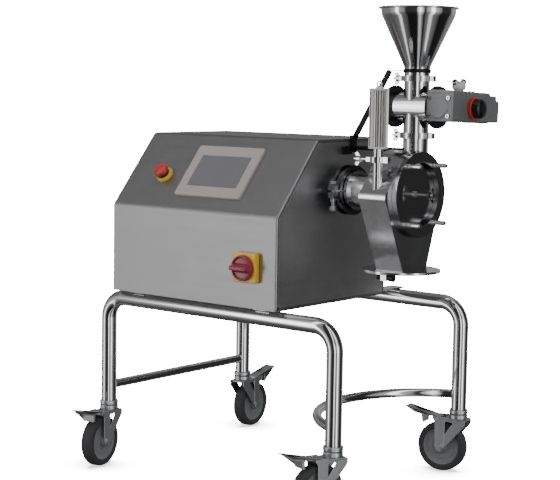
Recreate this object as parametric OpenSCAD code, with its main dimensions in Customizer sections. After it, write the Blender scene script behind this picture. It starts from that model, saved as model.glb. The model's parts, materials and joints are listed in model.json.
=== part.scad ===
// Laboratory hammer mill on a wheeled tube stand.
// Millimetres, +Z up. X runs across the control panel to the mill, the operator stands at -Y.
// The origin is on the floor, under the middle of the whole machine.

/* [Stand] */
// Distance between the left and right leg centres
stand_w = 708; // [640:1:860]
// Distance between the front and rear leg centres
stand_d = 514; // [460:1:640]
// Height of the top tubes' centre line
stand_h = 423; // [360:1:520]
// Outside diameter of the leg tube
leg_d = 38; // [32:1:45]
// Wall of the leg tube
leg_wall = 2; // [1.5:0.5:3]
// Bend radius of the leg tube, on its centre line
leg_bend_r = 55; // [45:1:70]
// Outside diameter of the two lower cross tubes
cross_d = 22; // [18:1:28]
// Wall of the cross tubes
cross_wall = 2; // [1.5:0.5:3]
// Height of the cross tubes' centre line
cross_h = 197; // [185:1:240]
// How far the right cross tube bows inwards
bow_depth = 172; // [120:1:200]
// Width of the flat bars that carry the cabinet
bar_w = 40; // [25:1:60]
// Thickness of the flat bars
bar_t = 4; // [3:0.5:8]

/* [Casters] */
// Wheel diameter
wheel_d = 125; // [104:1:150]
// Wheel width
wheel_w = 32; // [26:1:38]
// Horizontal distance from the swivel axis to the wheel axle
trail = 40; // [33:1:48]
// Height of the swivel bearing between wheel and leg
swivel_h = 35; // [32:1:42]
// Reach of the brake pedal from the swivel axis
pedal_reach = 135; // [120:1:150]

/* [Cabinet] */
// Width of the cabinet
cabinet_w = 520; // [450:1:620]
// Depth of the cabinet at its base
cabinet_d = 419; // [380:1:500]
// Height of the upright front below the sloped panel
front_h = 212; // [180:1:280]
// Depth of the sloped control panel, seen from above
slope_run = 143; // [110:1:180]
// Rise of the sloped control panel
slope_rise = 172; // [140:1:210]
// Sheet thickness
sheet_t = 2; // [1.5:0.5:3]

/* [Controls] */
// Width of the touch panel's frame
panel_w = 204; // [170:1:240]
// Height of the touch panel's frame
panel_h = 148; // [120:1:160]
// Width of the screen
screen_w = 152; // [120:1:180]
// Height of the screen
screen_h = 88; // [70:1:110]
// Diameter of the emergency stop's collar
estop_collar_d = 42; // [36:1:50]
// Diameter of the emergency stop's mushroom
estop_d = 38; // [30:1:45]
// Side of the square isolator plate
isolator_w = 68; // [56:1:80]
// Diameter of the isolator's knob
isolator_knob_d = 60; // [44:1:64]

/* [Mill] */
// Height of the rotor axis above the cabinet's base
axis_rise = 266; // [240:1:300]
// Outside radius of the grinding drum
drum_r = 98; // [90:1:115]
// Width of the drum from back plate to front face
drum_w = 72; // [62:1:86]
// Wall of the drum and chute
drum_wall = 3; // [2:0.5:4]
// Length of the neck between the clamp and the drum
neck_len = 113; // [95:1:140]
// Outside diameter of the neck
neck_d = 76; // [70:1:84]
// Height of the chute below the rotor axis
chute_h = 171; // [150:1:200]
// Diameter of the rotor shaft
shaft_d = 20; // [16:1:24]
// Radius over the hammer tips
hammer_r = 80; // [70:1:81]
// Inner radius of the perforated screen
screen_r = 86; // [84:1:88]
// Diameter of the outlet flange
outlet_d = 178; // [160:1:210]

/* [Feeder] */
// Outside diameter of the product pipe
pipe_d = 58; // [50:1:63]
// Wall of the product pipe
pipe_wall = 2; // [1.5:0.5:3]
// Height of the feeder's axis above the rotor axis
feeder_rise = 196; // [180:1:230]
// Length of the feeder's tube between its end flanges
feeder_len = 106; // [90:1:130]
// Outside diameter of the feeder's tube
feeder_d = 66; // [60:1:74]
// Diameter of the end flanges
feeder_flange_d = 96; // [80:1:110]
// Length of the gearmotor
gearmotor_len = 212; // [180:1:250]
// Diameter of the hopper's rim
rim_d = 183; // [150:1:240]
// Height of the hopper's cone
cone_h = 120; // [100:1:160]
// Length of the filter cartridge
filter_h = 133; // [110:1:160]
// Diameter of the filter cartridge
filter_d = 44; // [36:1:50]

/* [Hidden] */
CORNERS = ["fl", "fr", "bl", "br"];
$fn = 64;
blend_fn = 32;

// Fits: seat is the gap between touching curved faces, run is the radial gap of a turning fit.
seat = 0.2;
run = 0.05;
eps = 0.01;

// Stand
leg_x = stand_w / 2;
leg_y = stand_d / 2;
leg_end = wheel_d + swivel_h;
tube_top = stand_h + leg_d / 2;
base_z = tube_top + seat + bar_t;
bar_inset = 62;

// Casters: the way each wheel trails behind its leg, in degrees from +X.
TRAIL_DIR = [-78.5, -108.5, 94.6, 190.8];
LEG_SIGN = [[-1, -1], [1, -1], [-1, 1], [1, 1]];
wheel_gap = 4;
fork_t = 3;
fork_in = wheel_w / 2 + wheel_gap;
fork_out = fork_in + fork_t;
axle_z = wheel_d / 2;
axle_d = 10;
crown_z = wheel_d + 6;
crown_t = 4;
race_d = 46;
race_top = leg_end - 12;
king_d = 12;
pedal_pin_d = 6;
pedal_pin_x = trail + 10;
pedal_pin_z = wheel_d + 8;
pedal_t = 3;
pedal_w = 34;

// Cabinet
cab_x1 = 212;
cab_x0 = cab_x1 - cabinet_w;
cab_y0 = -291;
cab_y1 = cab_y0 + cabinet_d;
slope_z = base_z + front_h;
cab_top = slope_z + slope_rise;
slope_y = cab_y0 + slope_run;
slope_angle = atan2(slope_rise, slope_run);
slope_in = tan((90 - slope_angle) / 2);
top_in = tan(slope_angle / 2);
base_lip = 15;
gland_d = 20;
gland_bore = 12;
gland_x = cab_x0 + 70;
gland_z = base_z + 60;

// Controls
panel_x = -22;
panel_t = 7;
recess = 1.5;
glass_t = 1.2;
estop_x = -189;
estop_at = 0.42;
estop_travel = 4;
isolator_x = 128;
isolator_rise = 94;
isolator_t = 15;

// Drive
axis_y = -57;
axis_z = base_z + axis_rise;
motor_d = 160;
motor_len = 230;
motor_shaft_d = 24;
motor_base = axis_z - motor_d / 2 - 12;
housing_d = 74;
bearing_d = 52;
bearing_w = 15;
coupling_d = 54;
ferrule_t = 8;
joint_x = cab_x1 + 28;
housing_x0 = cab_x1 - 100;
coupling_x0 = housing_x0 - 92;
motor_x1 = coupling_x0 - 10;
neck_flange_d = 100;
clamp_d = 116;
clamp_w = 24;
lug_y = axis_y - clamp_d / 2 - 9;
screw_d = 8;

// Mill
drum_x0 = joint_x + neck_len;
drum_x1 = drum_x0 + drum_w;
mid_x = (drum_x0 + drum_x1) / 2;
front_t = 8;
door_r = drum_r - 22;
cover_t = 12;
dish_depth = 15;
dish_wall = 3;
lid_x = drum_x1 + cover_t - dish_depth;
rotor_x0 = drum_x0 + drum_wall + 7;
rotor_len = 42;
stud_y = 50;
stud_z = 65;
stud_d = 8;
nut_d = 11;
nut_len = 34;
chute_left = -(drum_r + 26);
chute_z = axis_z - chute_h;
outlet_y0 = -49;
outlet_y1 = 46;
outlet_cy = axis_y + (outlet_y0 + outlet_y1) / 2;
outlet_t = 6;
pin_y = outlet_cy - 62;
pin_z = chute_z - outlet_t - 9.1;
shoulder_r = 14;
vent_y = axis_y - drum_r - 5;
vent_d = 22;
pipe_y = axis_y + 43;

// Feeder
feeder_z = axis_z + feeder_rise;
feeder_x0 = mid_x - feeder_len / 2;
feeder_x1 = mid_x + feeder_len / 2;
flange_t = 9;
ferrule_d = pipe_d + 6;
pipe_ferrule_t = 3;
clamp_h = 13;
pipe_clamp_d = pipe_d + 14;
lower_joint = feeder_z - 65;
upper_joint = feeder_z + 64;
feeder_shaft_d = 12;
gear_w = 63;
gear_h = 70;
gear_x0 = feeder_x1 + flange_t;
gear_x1 = gear_x0 + gear_w;
gear_y0 = pipe_y - 52;
gear_mid_x = (gear_x0 + gear_x1) / 2;
gear_tilt = -2.2;
gear_lift = 3;
inlet_y = gear_y0 + 95;
inlet_out = 28;
neck_h = 24;
rim_h = 17;
rim_t = 4;
hopper_wall = 2;
hopper_top = upper_joint + neck_h + cone_h + rim_h;
vent_joint = axis_z + 80;
vent_clamp_d = 36;
filter_z = vent_joint + 24;
eye_h = 9;
CLAMP_AT = [[mid_x, pipe_y, upper_joint], [mid_x, pipe_y, lower_joint], [mid_x, vent_y, vent_joint]];
CLAMP_SIZE = [[pipe_d, ferrule_d, pipe_clamp_d], [pipe_d, ferrule_d, pipe_clamp_d],
              [vent_d, vent_d + 6, vent_clamp_d]];
BOLT_LEN = [20, 20, 38];

// The machine's middle, which is moved over the origin.
bolt_head = 9;
caster_side = fork_out + bolt_head;
centre_x = (gear_x1 + inlet_out - leg_x - caster_side) / 2;

// ---------- helpers ----------

module placed() {
    translate([-centre_x, 0, 0]) children();
}

// A cylinder from p along +X, +Y or +Z.
module rod_x(p, d, len) {
    translate(p) rotate([0, 90, 0]) cylinder(d = d, h = len);
}

module rod_y(p, d, len) {
    translate(p) rotate([-90, 0, 0]) cylinder(d = d, h = len);
}

module rod_z(p, d, len) {
    translate(p) cylinder(d = d, h = len);
}

module ring(outer, inner, h) {
    difference() {
        cylinder(d = outer, h = h);
        translate([0, 0, -1]) cylinder(d = inner, h = h + 2);
    }
}

module ring_x(p, outer, inner, len) {
    translate(p) rotate([0, 90, 0]) ring(outer, inner, len);
}

module hex(across, h) {
    cylinder(d = across / cos(30), h = h, $fn = 6);
}

// A block between two corners.
module block(a, b) {
    translate(a) cube(b - a);
}

// Anything drawn flat on the sloped panel: x along the panel, y up the slope, z outwards.
module on_slope(x, share) {
    translate([x, cab_y0 + slope_run * share, slope_z + slope_rise * share])
        rotate([slope_angle, 0, 0]) children();
}

// ---------- stand ----------

// An upside-down U of round tube in the XZ plane, legs at +-leg_x.
module tube_u() {
    straight = leg_x - leg_bend_r;
    leg_len = stand_h - leg_bend_r - leg_end;
    for (s = [-1, 1]) {
        translate([s * leg_x, 0, leg_end]) ring(leg_d, leg_d - 2 * leg_wall, leg_len);
        translate([s * straight, 0, stand_h - leg_bend_r]) rotate([90, 0, 0])
            rotate([0, 0, s > 0 ? 0 : 90]) rotate_extrude(angle = 90)
                translate([leg_bend_r, 0]) tube_section(leg_d, leg_wall);
    }
    ring_x([-straight, 0, stand_h], leg_d, leg_d - 2 * leg_wall, 2 * straight);
}

module tube_section(d, wall) {
    difference() {
        circle(d = d);
        circle(d = d - 2 * wall);
    }
}

module front_frame_tube() {
    placed() color("silver") translate([0, -leg_y, 0]) tube_u();
}

module rear_frame_tube() {
    placed() color("silver") translate([0, leg_y, 0]) tube_u();
}

// The room a leg takes, with the gap of a coped joint.
module leg_room(sx, sy) {
    translate([sx * leg_x, sy * leg_y, 0]) cylinder(d = leg_d + seat, h = stand_h);
}

module left_cross_tube() {
    placed() color("silver") difference() {
        translate([-leg_x, -leg_y, cross_h]) rotate([-90, 0, 0])
            ring(cross_d, cross_d - 2 * cross_wall, stand_d);
        leg_room(-1, -1);
        leg_room(-1, 1);
    }
}

module right_bow_tube() {
    bow_r = (leg_y * leg_y + bow_depth * bow_depth) / (2 * bow_depth);
    half = bow_depth > bow_r ? 180 - asin(leg_y / bow_r) : asin(leg_y / bow_r);
    placed() color("silver") difference() {
        translate([leg_x - bow_depth + bow_r, 0, cross_h]) rotate([0, 0, 180 - half])
            rotate_extrude(angle = 2 * half) translate([bow_r, 0]) tube_section(cross_d, cross_wall);
        leg_room(1, -1);
        leg_room(1, 1);
    }
}

module support_bars() {
    bar_y = leg_y + leg_d / 2;
    placed() color("dimgray") for (x = [cab_x0 + bar_inset, cab_x1 - bar_inset])
        block([x - bar_w / 2, -bar_y, base_z - bar_t], [x + bar_w / 2, bar_y, base_z]);
}

// ---------- casters ----------

// Moves a caster, drawn with its swivel axis at the origin and its wheel towards +X, to its leg.
module at_corner(i) {
    placed() translate([LEG_SIGN[i][0] * leg_x, LEG_SIGN[i][1] * leg_y, 0])
        rotate([0, 0, TRAIL_DIR[i]]) children();
}

// Swivel race, stem plug in the leg and the king pin that carries the fork.
module caster_stems() {
    plug_d = leg_d - 2 * leg_wall - 2 * seat;
    color("gainsboro") for (i = [0:3]) at_corner(i) {
        rod_z([0, 0, race_top + seat], race_d, leg_end - race_top - 2 * seat);
        rod_z([0, 0, leg_end - 2 * seat], plug_d, 35);
        rod_z([0, 0, crown_z - 1], king_d, race_top - crown_z + 2);
        rod_z([0, 0, crown_z - 4.5], 20, 4);
    }
}

// Side cheek of the fork, drawn in the XZ plane.
module fork_cheek() {
    polygon([[-26, crown_z + crown_t], [-26, crown_z - 8], [-6, crown_z - 26],
             [trail - 13, axle_z], [trail - 7, axle_z - 11], [trail + 7, axle_z - 11],
             [trail + 13, axle_z], [trail + 15, crown_z - 28], [trail + 20, crown_z - 8],
             [trail + 20, pedal_pin_z + 6], [trail, pedal_pin_z + 6], [trail - 6, crown_z + crown_t]]);
}

module caster_fork(i) {
    at_corner(i) color("darkgray") difference() {
        union() {
            for (y = [-fork_out, fork_in])
                translate([0, y + fork_t, 0]) rotate([90, 0, 0]) linear_extrude(fork_t) fork_cheek();
            block([-26, -fork_out, crown_z], [trail - 4, fork_out, crown_z + crown_t]);
            rod_z([0, 0, crown_z], race_d, race_top - crown_z);
            rod_y([trail, -fork_out - 4, axle_z], axle_d, 2 * fork_out + 8);
            translate([trail, -fork_out - 5, axle_z]) rotate([-90, 0, 0]) hex(16, 6);
            translate([trail, fork_out - 1, axle_z]) rotate([-90, 0, 0]) hex(16, 6);
            rod_y([pedal_pin_x, -fork_out, pedal_pin_z], pedal_pin_d, 2 * fork_out);
        }
        rod_z([0, 0, crown_z - 1], king_d + 2 * run, race_top - crown_z + 2);
    }
}

module caster_wheel(i) {
    rim_r = wheel_d / 2 - 17;
    hub_r = 15;
    at_corner(i) color("dimgray") translate([trail, 0, axle_z]) rotate([90, 0, 0]) rotate_extrude()
        polygon([[axle_d / 2 + run, -fork_in + 1], [hub_r, -fork_in + 1], [hub_r, -10], [rim_r - 3, -8],
                 [rim_r, -13], [rim_r + 9, -wheel_w / 2], [wheel_d / 2 - 3, -wheel_w / 2 + 3],
                 [wheel_d / 2, -9],
                 [wheel_d / 2, 9], [wheel_d / 2 - 3, wheel_w / 2 - 3], [rim_r + 9, wheel_w / 2],
                 [rim_r, 13], [rim_r - 3, 8], [hub_r, 10], [hub_r, fork_in - 1],
                 [axle_d / 2 + run, fork_in - 1]]);
}

// Foot pedal with its brake shoe, on the fork's cross pin.
module caster_pedal(i) {
    barrel_r = 6;
    top = pedal_pin_z + 5;
    at_corner(i) color("silver") difference() {
        union() {
            rod_y([pedal_pin_x, -pedal_w / 2, pedal_pin_z], 2 * barrel_r, pedal_w);
            translate([0, pedal_w / 2, 0]) rotate([90, 0, 0]) linear_extrude(pedal_w)
                polygon([[pedal_pin_x, top - 2], [trail + 44, top + 1], [trail + 44, crown_z - 12.5],
                         [trail + 50, crown_z - 12.5], [trail + 52, top + 1], [pedal_reach - 25, top + 3],
                         [pedal_reach, top + 16], [pedal_reach, top + 19], [pedal_reach - 26, top + 6],
                         [pedal_pin_x, top + 1]]);
        }
        rod_y([pedal_pin_x, -pedal_w, pedal_pin_z], pedal_pin_d + 2 * run, 2 * pedal_w);
    }
}

// ---------- cabinet ----------

// Outline of the folded front, slope and top sheet, seen from the side.
function wrap_points(inset) = [
    [cab_y0 + inset, base_z], [cab_y0 + inset, slope_z - inset * slope_in],
    [slope_y + inset * top_in, cab_top - inset], [cab_y1, cab_top - inset]];

module side_outline(inset) {
    polygon(concat(wrap_points(inset), [[cab_y1, base_z]]));
}

// Turns a YZ outline into a slab from x0 to x1.
module slab(x0, x1) {
    translate([x0, 0, 0]) rotate([90, 0, 90]) linear_extrude(x1 - x0) children();
}

module cabinet_wrap() {
    placed() color("lightgray") difference() {
        slab(cab_x0, cab_x1) difference() {
            side_outline(0);
            polygon(concat(wrap_points(sheet_t), [[cab_y1 + 1, cab_top - sheet_t], [cab_y1 + 1, base_z - 1],
                                                  [cab_y0 + sheet_t, base_z - 1]]));
        }
        on_slope(panel_x, 0.5) cube([panel_w - 16, panel_h - 16, 4 * sheet_t], center = true);
        on_slope(estop_x, estop_at) translate([0, 0, -10]) cylinder(d = 22 + seat, h = 20);
        rod_y([isolator_x, cab_y0 - 1, base_z + isolator_rise], 24, 10);
    }
}

module cabinet_sides() {
    placed() color("gray") difference() {
        for (x = [cab_x0, cab_x1 - sheet_t]) slab(x, x + sheet_t) side_panel_outline();
        rod_x([cab_x1 - 5, axis_y, axis_z], housing_d + 2, 10);
    }
}

// The room inside the wrap, less the seat gap.
module side_panel_outline() {
    inset = sheet_t + seat;
    intersection() {
        side_outline(inset);
        block_yz(cab_y0, base_z + sheet_t, cab_y1 - inset, cab_top);
    }
}

module block_yz(y0, z0, y1, z1) {
    translate([y0, z0]) square([y1 - y0, z1 - z0]);
}

// Floor pan with turned-up lips inside the panels.
module cabinet_base() {
    lip_x0 = cab_x0 + sheet_t + seat;
    lip_x1 = cab_x1 - sheet_t - seat;
    lip_y0 = cab_y0 + sheet_t + seat;
    lip_y1 = cab_y1 - sheet_t - seat;
    placed() color("gray") difference() {
        union() {
            block([cab_x0, lip_y0, base_z], [cab_x1, lip_y1, base_z + sheet_t - eps]);
            block([lip_x0, lip_y0, base_z], [lip_x1, lip_y1, base_z + base_lip]);
        }
        block([lip_x0 + sheet_t, lip_y0 + sheet_t, base_z + sheet_t],
              [lip_x1 - sheet_t, lip_y1 - sheet_t, base_z + base_lip + 1]);
    }
}

// Removable rear panel with two banks of cooling slots and the cable hole.
module cabinet_back() {
    slot_w = 60;
    slot_h = 5;
    slot_pitch = 14;
    x0 = cab_x0 + sheet_t + seat;
    x1 = cab_x1 - sheet_t - seat;
    placed() color("gray") difference() {
        block([x0, cab_y1 - sheet_t, base_z + base_lip + seat], [x1, cab_y1, cab_top - sheet_t - seat]);
        for (bank = [-1, 1], row = [0:7])
            translate([(x0 + x1) / 2 + bank * 60 - slot_w / 2, cab_y1 - 5, cab_top - 60 - row * slot_pitch])
                cube([slot_w, 10, slot_h]);
        rod_y([gland_x, cab_y1 - 5, gland_z], gland_d + 2 * seat, 10);
    }
}

// Empty cable gland: body, sealing nut and inner lock nut.
module mains_gland() {
    placed() color("#303236") translate([gland_x, cab_y1, gland_z]) rotate([-90, 0, 0]) difference() {
        union() {
            translate([0, 0, -sheet_t - 8]) cylinder(d = gland_d, h = 16);
            hex(27, 7);
            translate([0, 0, 7]) cylinder(d = 25, h = 15);
            translate([0, 0, -sheet_t - 6]) hex(27, 6);
        }
        translate([0, 0, -sheet_t - 9]) cylinder(d = gland_bore, h = 40);
    }
}

// ---------- controls ----------

module touch_panel() {
    placed() color("#a9a3a2") on_slope(panel_x, 0.5) difference() {
        union() {
            translate([0, 0, panel_t / 2]) cube([panel_w, panel_h, panel_t], center = true);
            translate([0, 0, -17]) cube([panel_w - 18, panel_h - 18, 36], center = true);
        }
        translate([0, 0, panel_t]) cube([screen_w, screen_h, 2 * recess], center = true);
    }
}

module touch_screen() {
    placed() color("#5b5a60") on_slope(panel_x, 0.5) translate([0, 0, panel_t - recess + glass_t / 2])
        cube([screen_w - 2 * seat, screen_h - 2 * seat, glass_t], center = true);
}

module estop_collar() {
    placed() color("gold") on_slope(estop_x, estop_at) difference() {
        union() {
            cylinder(d = estop_collar_d, h = 9);
            translate([0, 0, -30]) cylinder(d = 22 - seat, h = 31);
            translate([0, 0, -sheet_t - 26]) cylinder(d = 30, h = 25);
        }
        translate([0, 0, -14]) cylinder(d = 12 + 2 * run, h = 30);
    }
}

module estop_button() {
    head_z = 9 + estop_travel + 1;
    placed() color("firebrick") on_slope(estop_x, estop_at) rotate_extrude()
        polygon([[0, -14 + estop_travel + 1], [6, -14 + estop_travel + 1], [6, head_z],
                 [estop_d / 2 - 3, head_z],
                 [estop_d / 2, head_z + 3], [estop_d / 2, head_z + 8], [estop_d / 2 - 3, head_z + 12],
                 [estop_d / 2 - 8, head_z + 14], [0, head_z + 15]]);
}

module isolator_plate() {
    w = isolator_w;
    r = 6;
    placed() color("#f0c020") difference() {
        union() {
            translate([isolator_x, cab_y0, base_z + isolator_rise]) rotate([90, 0, 0])
                linear_extrude(isolator_t) union() {
                    square([w - 2 * r, w], center = true);
                    square([w, w - 2 * r], center = true);
                    for (sx = [-1, 1], sy = [-1, 1])
                        translate([sx * (w / 2 - r), sy * (w / 2 - r)]) circle(r = r);
                }
            rod_y([isolator_x, cab_y0 - 1, base_z + isolator_rise], 23, 12);
            block([isolator_x - 30, cab_y0 + sheet_t + seat, base_z + isolator_rise - 30],
                  [isolator_x + 30, cab_y0 + 52, base_z + isolator_rise + 30]);
        }
        rod_y([isolator_x, cab_y0 - isolator_t - 1, base_z + isolator_rise], 10 + 2 * run, 32);
    }
}

// Round rotary handle: its spindle, a disc and a straight grip across it.
module isolator_knob() {
    face_y = cab_y0 - isolator_t - 0.5;
    placed() color("#a82a3c") translate([isolator_x, face_y, base_z + isolator_rise]) rotate([90, 0, 0]) {
        translate([0, 0, -25]) cylinder(d = 10, h = 26);
        cylinder(d = isolator_knob_d, h = 9);
        translate([0, 0, 9 - eps]) hull() {
            cube([isolator_knob_d - 4, 22, 1], center = true);
            translate([0, 0, 15]) cube([isolator_knob_d - 12, 9, 1], center = true);
        }
    }
}

// ---------- drive ----------

// Welded table that lifts the motor to the shaft line.
module motor_bracket() {
    x0 = motor_x1 - motor_len + 30;
    x1 = motor_x1 - 30;
    y0 = axis_y - 75;
    y1 = axis_y + 75;
    placed() color("slategray") {
        block([x0, y0, motor_base - 8], [x1, y1, motor_base]);
        for (y = [y0, y1 - 5]) block([x0, y, base_z + sheet_t + 5], [x1, y + 5, motor_base - 8]);
        block([x0, y0 - 25, base_z + sheet_t], [x1, y1 + 25, base_z + sheet_t + 5]);
    }
}

module drive_motor() {
    x0 = motor_x1 - motor_len;
    placed() color("#4f6277") difference() {
        union() {
            rod_x([x0 + 45, axis_y, axis_z], motor_d, motor_len - 60);
            rod_x([x0, axis_y, axis_z], motor_d - 6, 46);
            rod_x([motor_x1 - 16, axis_y, axis_z], motor_d - 30, 16);
            block([x0 + 50, axis_y - 45, axis_z], [x0 + 140, axis_y + 45, axis_z + motor_d / 2 + 22]);
            for (y = [axis_y - 68, axis_y + 44])
                block([x0 + 55, y, motor_base], [motor_x1 - 35, y + 24, axis_z - 30]);
        }
        rod_x([motor_x1 - 60, axis_y, axis_z], motor_shaft_d + 2 * run, 61);
    }
}

// Two jawed hubs with the spider between them, and the motor's own shaft end.
module shaft_coupling() {
    hub = 34;
    spider = 16;
    x1 = coupling_x0 + 2 * hub + spider;
    placed() color("darkgray") {
        difference() {
            rod_x([coupling_x0, axis_y, axis_z], coupling_d, hub);
            rod_x([coupling_x0 - 1, axis_y, axis_z], motor_shaft_d + 0.04, hub - 3);
        }
        rod_x([motor_x1 - 58, axis_y, axis_z], motor_shaft_d, hub + 62);
        rod_x([coupling_x0 + hub, axis_y, axis_z], coupling_d - 2, spider);
        difference() {
            rod_x([x1 - hub, axis_y, axis_z], coupling_d, hub);
            rod_x([x1 - hub + 2, axis_y, axis_z], shaft_d + 0.04, hub);
        }
    }
}

module drive_shaft() {
    x0 = coupling_x0 + 54;
    placed() color("silver") rod_x([x0, axis_y, axis_z], shaft_d, drum_x1 - 12 - x0);
}

// Bearing carrier bolted inside the right panel, with the clamp flange outside it.
module spindle_housing() {
    placed() color("gainsboro") difference() {
        union() {
            rod_x([housing_x0, axis_y, axis_z], housing_d, joint_x - housing_x0);
            rod_x([cab_x1 - sheet_t - 10, axis_y, axis_z], housing_d + 50, 10);
            rod_x([joint_x - ferrule_t, axis_y, axis_z], neck_flange_d, ferrule_t);
        }
        rod_x([housing_x0 - 1, axis_y, axis_z], bearing_d - 8, joint_x - housing_x0 + 2);
        for (x = [housing_x0 - 1, joint_x - bearing_w - 6])
            rod_x([x, axis_y, axis_z], bearing_d + 0.04, bearing_w + 7);
    }
}

module spindle_bearings() {
    placed() color("lightsteelblue") for (x = [housing_x0 + 4, joint_x - bearing_w - 4])
        ring_x([x, axis_y, axis_z], bearing_d, shaft_d + 2 * run, bearing_w);
}

// ---------- mill ----------

// Side view of the chute, Y and Z measured from the rotor axis: a round shoulder for the vent on
// the left, a wall that runs off the drum on the right, both down to the outlet.
module chute_outline(inset) {
    right_z = -drum_r * 0.42;
    right_y = sqrt(drum_r * drum_r - right_z * right_z);
    hull() {
        translate([chute_left + shoulder_r, -3]) circle(r = shoulder_r - inset, $fn = blend_fn);
        polygon([[outlet_y0 + inset, -chute_h - inset / 2], [outlet_y1 - inset, -chute_h - inset / 2],
                 [right_y - inset, right_z], [-drum_r * 0.9, drum_r * 0.43 - inset]]);
    }
}

// A YZ outline measured from the rotor axis, as a slab from x0 to x1.
module mill_slab(x0, x1) {
    translate([0, axis_y, axis_z]) slab(x0, x1) children();
}

module mill_chamber() {
    inner = drum_r - drum_wall;
    placed() color("silver") difference() {
        union() {
            rod_x([drum_x0, axis_y, axis_z], 2 * drum_r, drum_w);
            mill_slab(drum_x0, drum_x1) chute_outline(0);
            rod_x([joint_x, axis_y, axis_z], neck_d, neck_len + 2);
            rod_x([joint_x, axis_y, axis_z], neck_flange_d, ferrule_t);
            rod_x([joint_x + clamp_w / 2 + 2, axis_y, axis_z], neck_d + 16, 8);
            rod_z([mid_x, pipe_y, axis_z + 60], pipe_d, lower_joint - axis_z - 60);
            rod_z([mid_x, pipe_y, lower_joint - pipe_ferrule_t], ferrule_d, pipe_ferrule_t);
            rod_z([mid_x, vent_y, axis_z - 20], vent_d, vent_joint - axis_z + 20);
            rod_z([mid_x, vent_y, vent_joint - pipe_ferrule_t], vent_d + 6, pipe_ferrule_t);
        }
        rod_x([drum_x0 + drum_wall, axis_y, axis_z], 2 * inner, drum_w - drum_wall - front_t);
        rod_x([drum_x1 - front_t - 1, axis_y, axis_z], 2 * door_r, front_t + 2);
        mill_slab(drum_x0 + drum_wall, drum_x1 - drum_wall) chute_outline(drum_wall);
        rod_x([joint_x - 1, axis_y, axis_z], neck_d - 6, neck_len - 3);
        rod_x([joint_x - 1, axis_y, axis_z], shaft_d + 2, neck_len + 20);
        rod_z([mid_x, pipe_y, axis_z + 40], pipe_d - 2 * pipe_wall, lower_joint - axis_z);
        rod_z([mid_x, vent_y, axis_z - 30], vent_d - 3, vent_joint - axis_z + 40);
    }
    placed() color("gainsboro") for (y = [-stud_y, stud_y], z = [-stud_z, stud_z])
        rod_x([drum_x1, axis_y + y, axis_z + z], stud_d, cover_t + 14);
}

module neck_clamp() {
    x0 = joint_x - clamp_w / 2;
    rim_w = 6;
    rim_rise = 3.5;
    slot = 5;
    placed() color("#3c3f44") difference() {
        union() {
            rod_x([x0, axis_y, axis_z], clamp_d - 2 * rim_rise, clamp_w);
            for (x = [x0, x0 + clamp_w - rim_w]) rod_x([x, axis_y, axis_z], clamp_d, rim_w);
            block([x0 + 3, lug_y - 8, axis_z - 16],
                  [x0 + clamp_w - 3, axis_y - clamp_d / 2 + 8, axis_z + 16]);
        }
        rod_x([x0 - 1, axis_y, axis_z], neck_d + 2, clamp_w + 2);
        rod_x([joint_x - ferrule_t - 0.5, axis_y, axis_z], neck_flange_d + 0.6, 2 * ferrule_t + 1);
        block([x0 - 1, lug_y - 20, axis_z - slot / 2],
              [x0 + clamp_w + 1, axis_y - neck_d / 2 + 4, axis_z + slot / 2]);
        rod_z([joint_x, lug_y, axis_z - 30], screw_d + 2 * run, 60);
    }
}

// Clamping bolt: hex head above, ball knob below.
module neck_clamp_screw() {
    placed() color("gainsboro") translate([joint_x, lug_y, axis_z]) {
        translate([0, 0, -34]) cylinder(d = screw_d, h = 54);
        translate([0, 0, 16 + seat]) hex(14, 7);
        translate([0, 0, -40]) sphere(d = 16);
        translate([0, 0, -24]) cylinder(d = 13, h = 8 - seat);
    }
}

// Perforated lower half of the grinding chamber, between back plate and front ring.
module mill_screen() {
    t = 2;
    x0 = drum_x0 + drum_wall + 0.3;
    len = drum_w - drum_wall - front_t - 0.6;
    placed() color("darkgray") translate([x0, axis_y, axis_z]) rotate([90, 0, 90]) difference() {
        rotate([0, 0, 190]) rotate_extrude(angle = 160) translate([screen_r, 0]) square([t, len]);
        for (a = [200:10:340], k = [0:2])
            rotate([0, 0, a]) translate([screen_r - 2, 0, len * (k + 1) / 4])
                rotate([0, 90, 0]) cylinder(d = 8, h = 6);
    }
    placed() color("darkgray") for (s = [-1, 1]) rotate_about_axis(s * 79)
        block([x0, -4, -drum_r + drum_wall + seat], [x0 + len, 4, -screen_r - t - seat]);
}

// Turns a piece about the rotor axis.
module rotate_about_axis(a) {
    translate([0, axis_y, axis_z]) rotate([a, 0, 0]) children();
}

// Hub and two discs on the shaft.
module rotor() {
    disc_t = 5;
    placed() color("silver") difference() {
        union() {
            rod_x([rotor_x0, axis_y, axis_z], 40, rotor_len);
            for (x = [rotor_x0 + 4, rotor_x0 + rotor_len - 4 - disc_t])
                rod_x([x, axis_y, axis_z], 110, disc_t);
        }
        rod_x([rotor_x0 - 1, axis_y, axis_z], shaft_d + 0.04, rotor_len + 2);
    }
}

// Four bars pinned between the discs.
module hammers() {
    gap = 0.1;
    x0 = rotor_x0 + 9 + gap;
    x1 = rotor_x0 + rotor_len - 9 - gap;
    placed() color("dimgray") for (a = [45:90:315]) rotate_about_axis(a)
        block([x0, -9, 20 + 2 * seat], [x1, 9, hammer_r]);
}

// Ring of the door with its deep dish.
module front_cover() {
    placed() color("silver") difference() {
        union() {
            rod_x([drum_x1, axis_y, axis_z], 2 * drum_r - 2, cover_t);
            rod_x([drum_x1 + cover_t - dish_depth - dish_wall, axis_y, axis_z], 2 * (door_r - 1), dish_depth);
        }
        rod_x([drum_x1 + cover_t - dish_depth, axis_y, axis_z], 2 * (door_r - 1 - dish_wall), dish_depth + 1);
        for (y = [-stud_y, stud_y], z = [-stud_z, stud_z])
            rod_x([drum_x1 - 1, axis_y + y, axis_z + z], stud_d + 1, cover_t + 2);
    }
}

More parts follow.
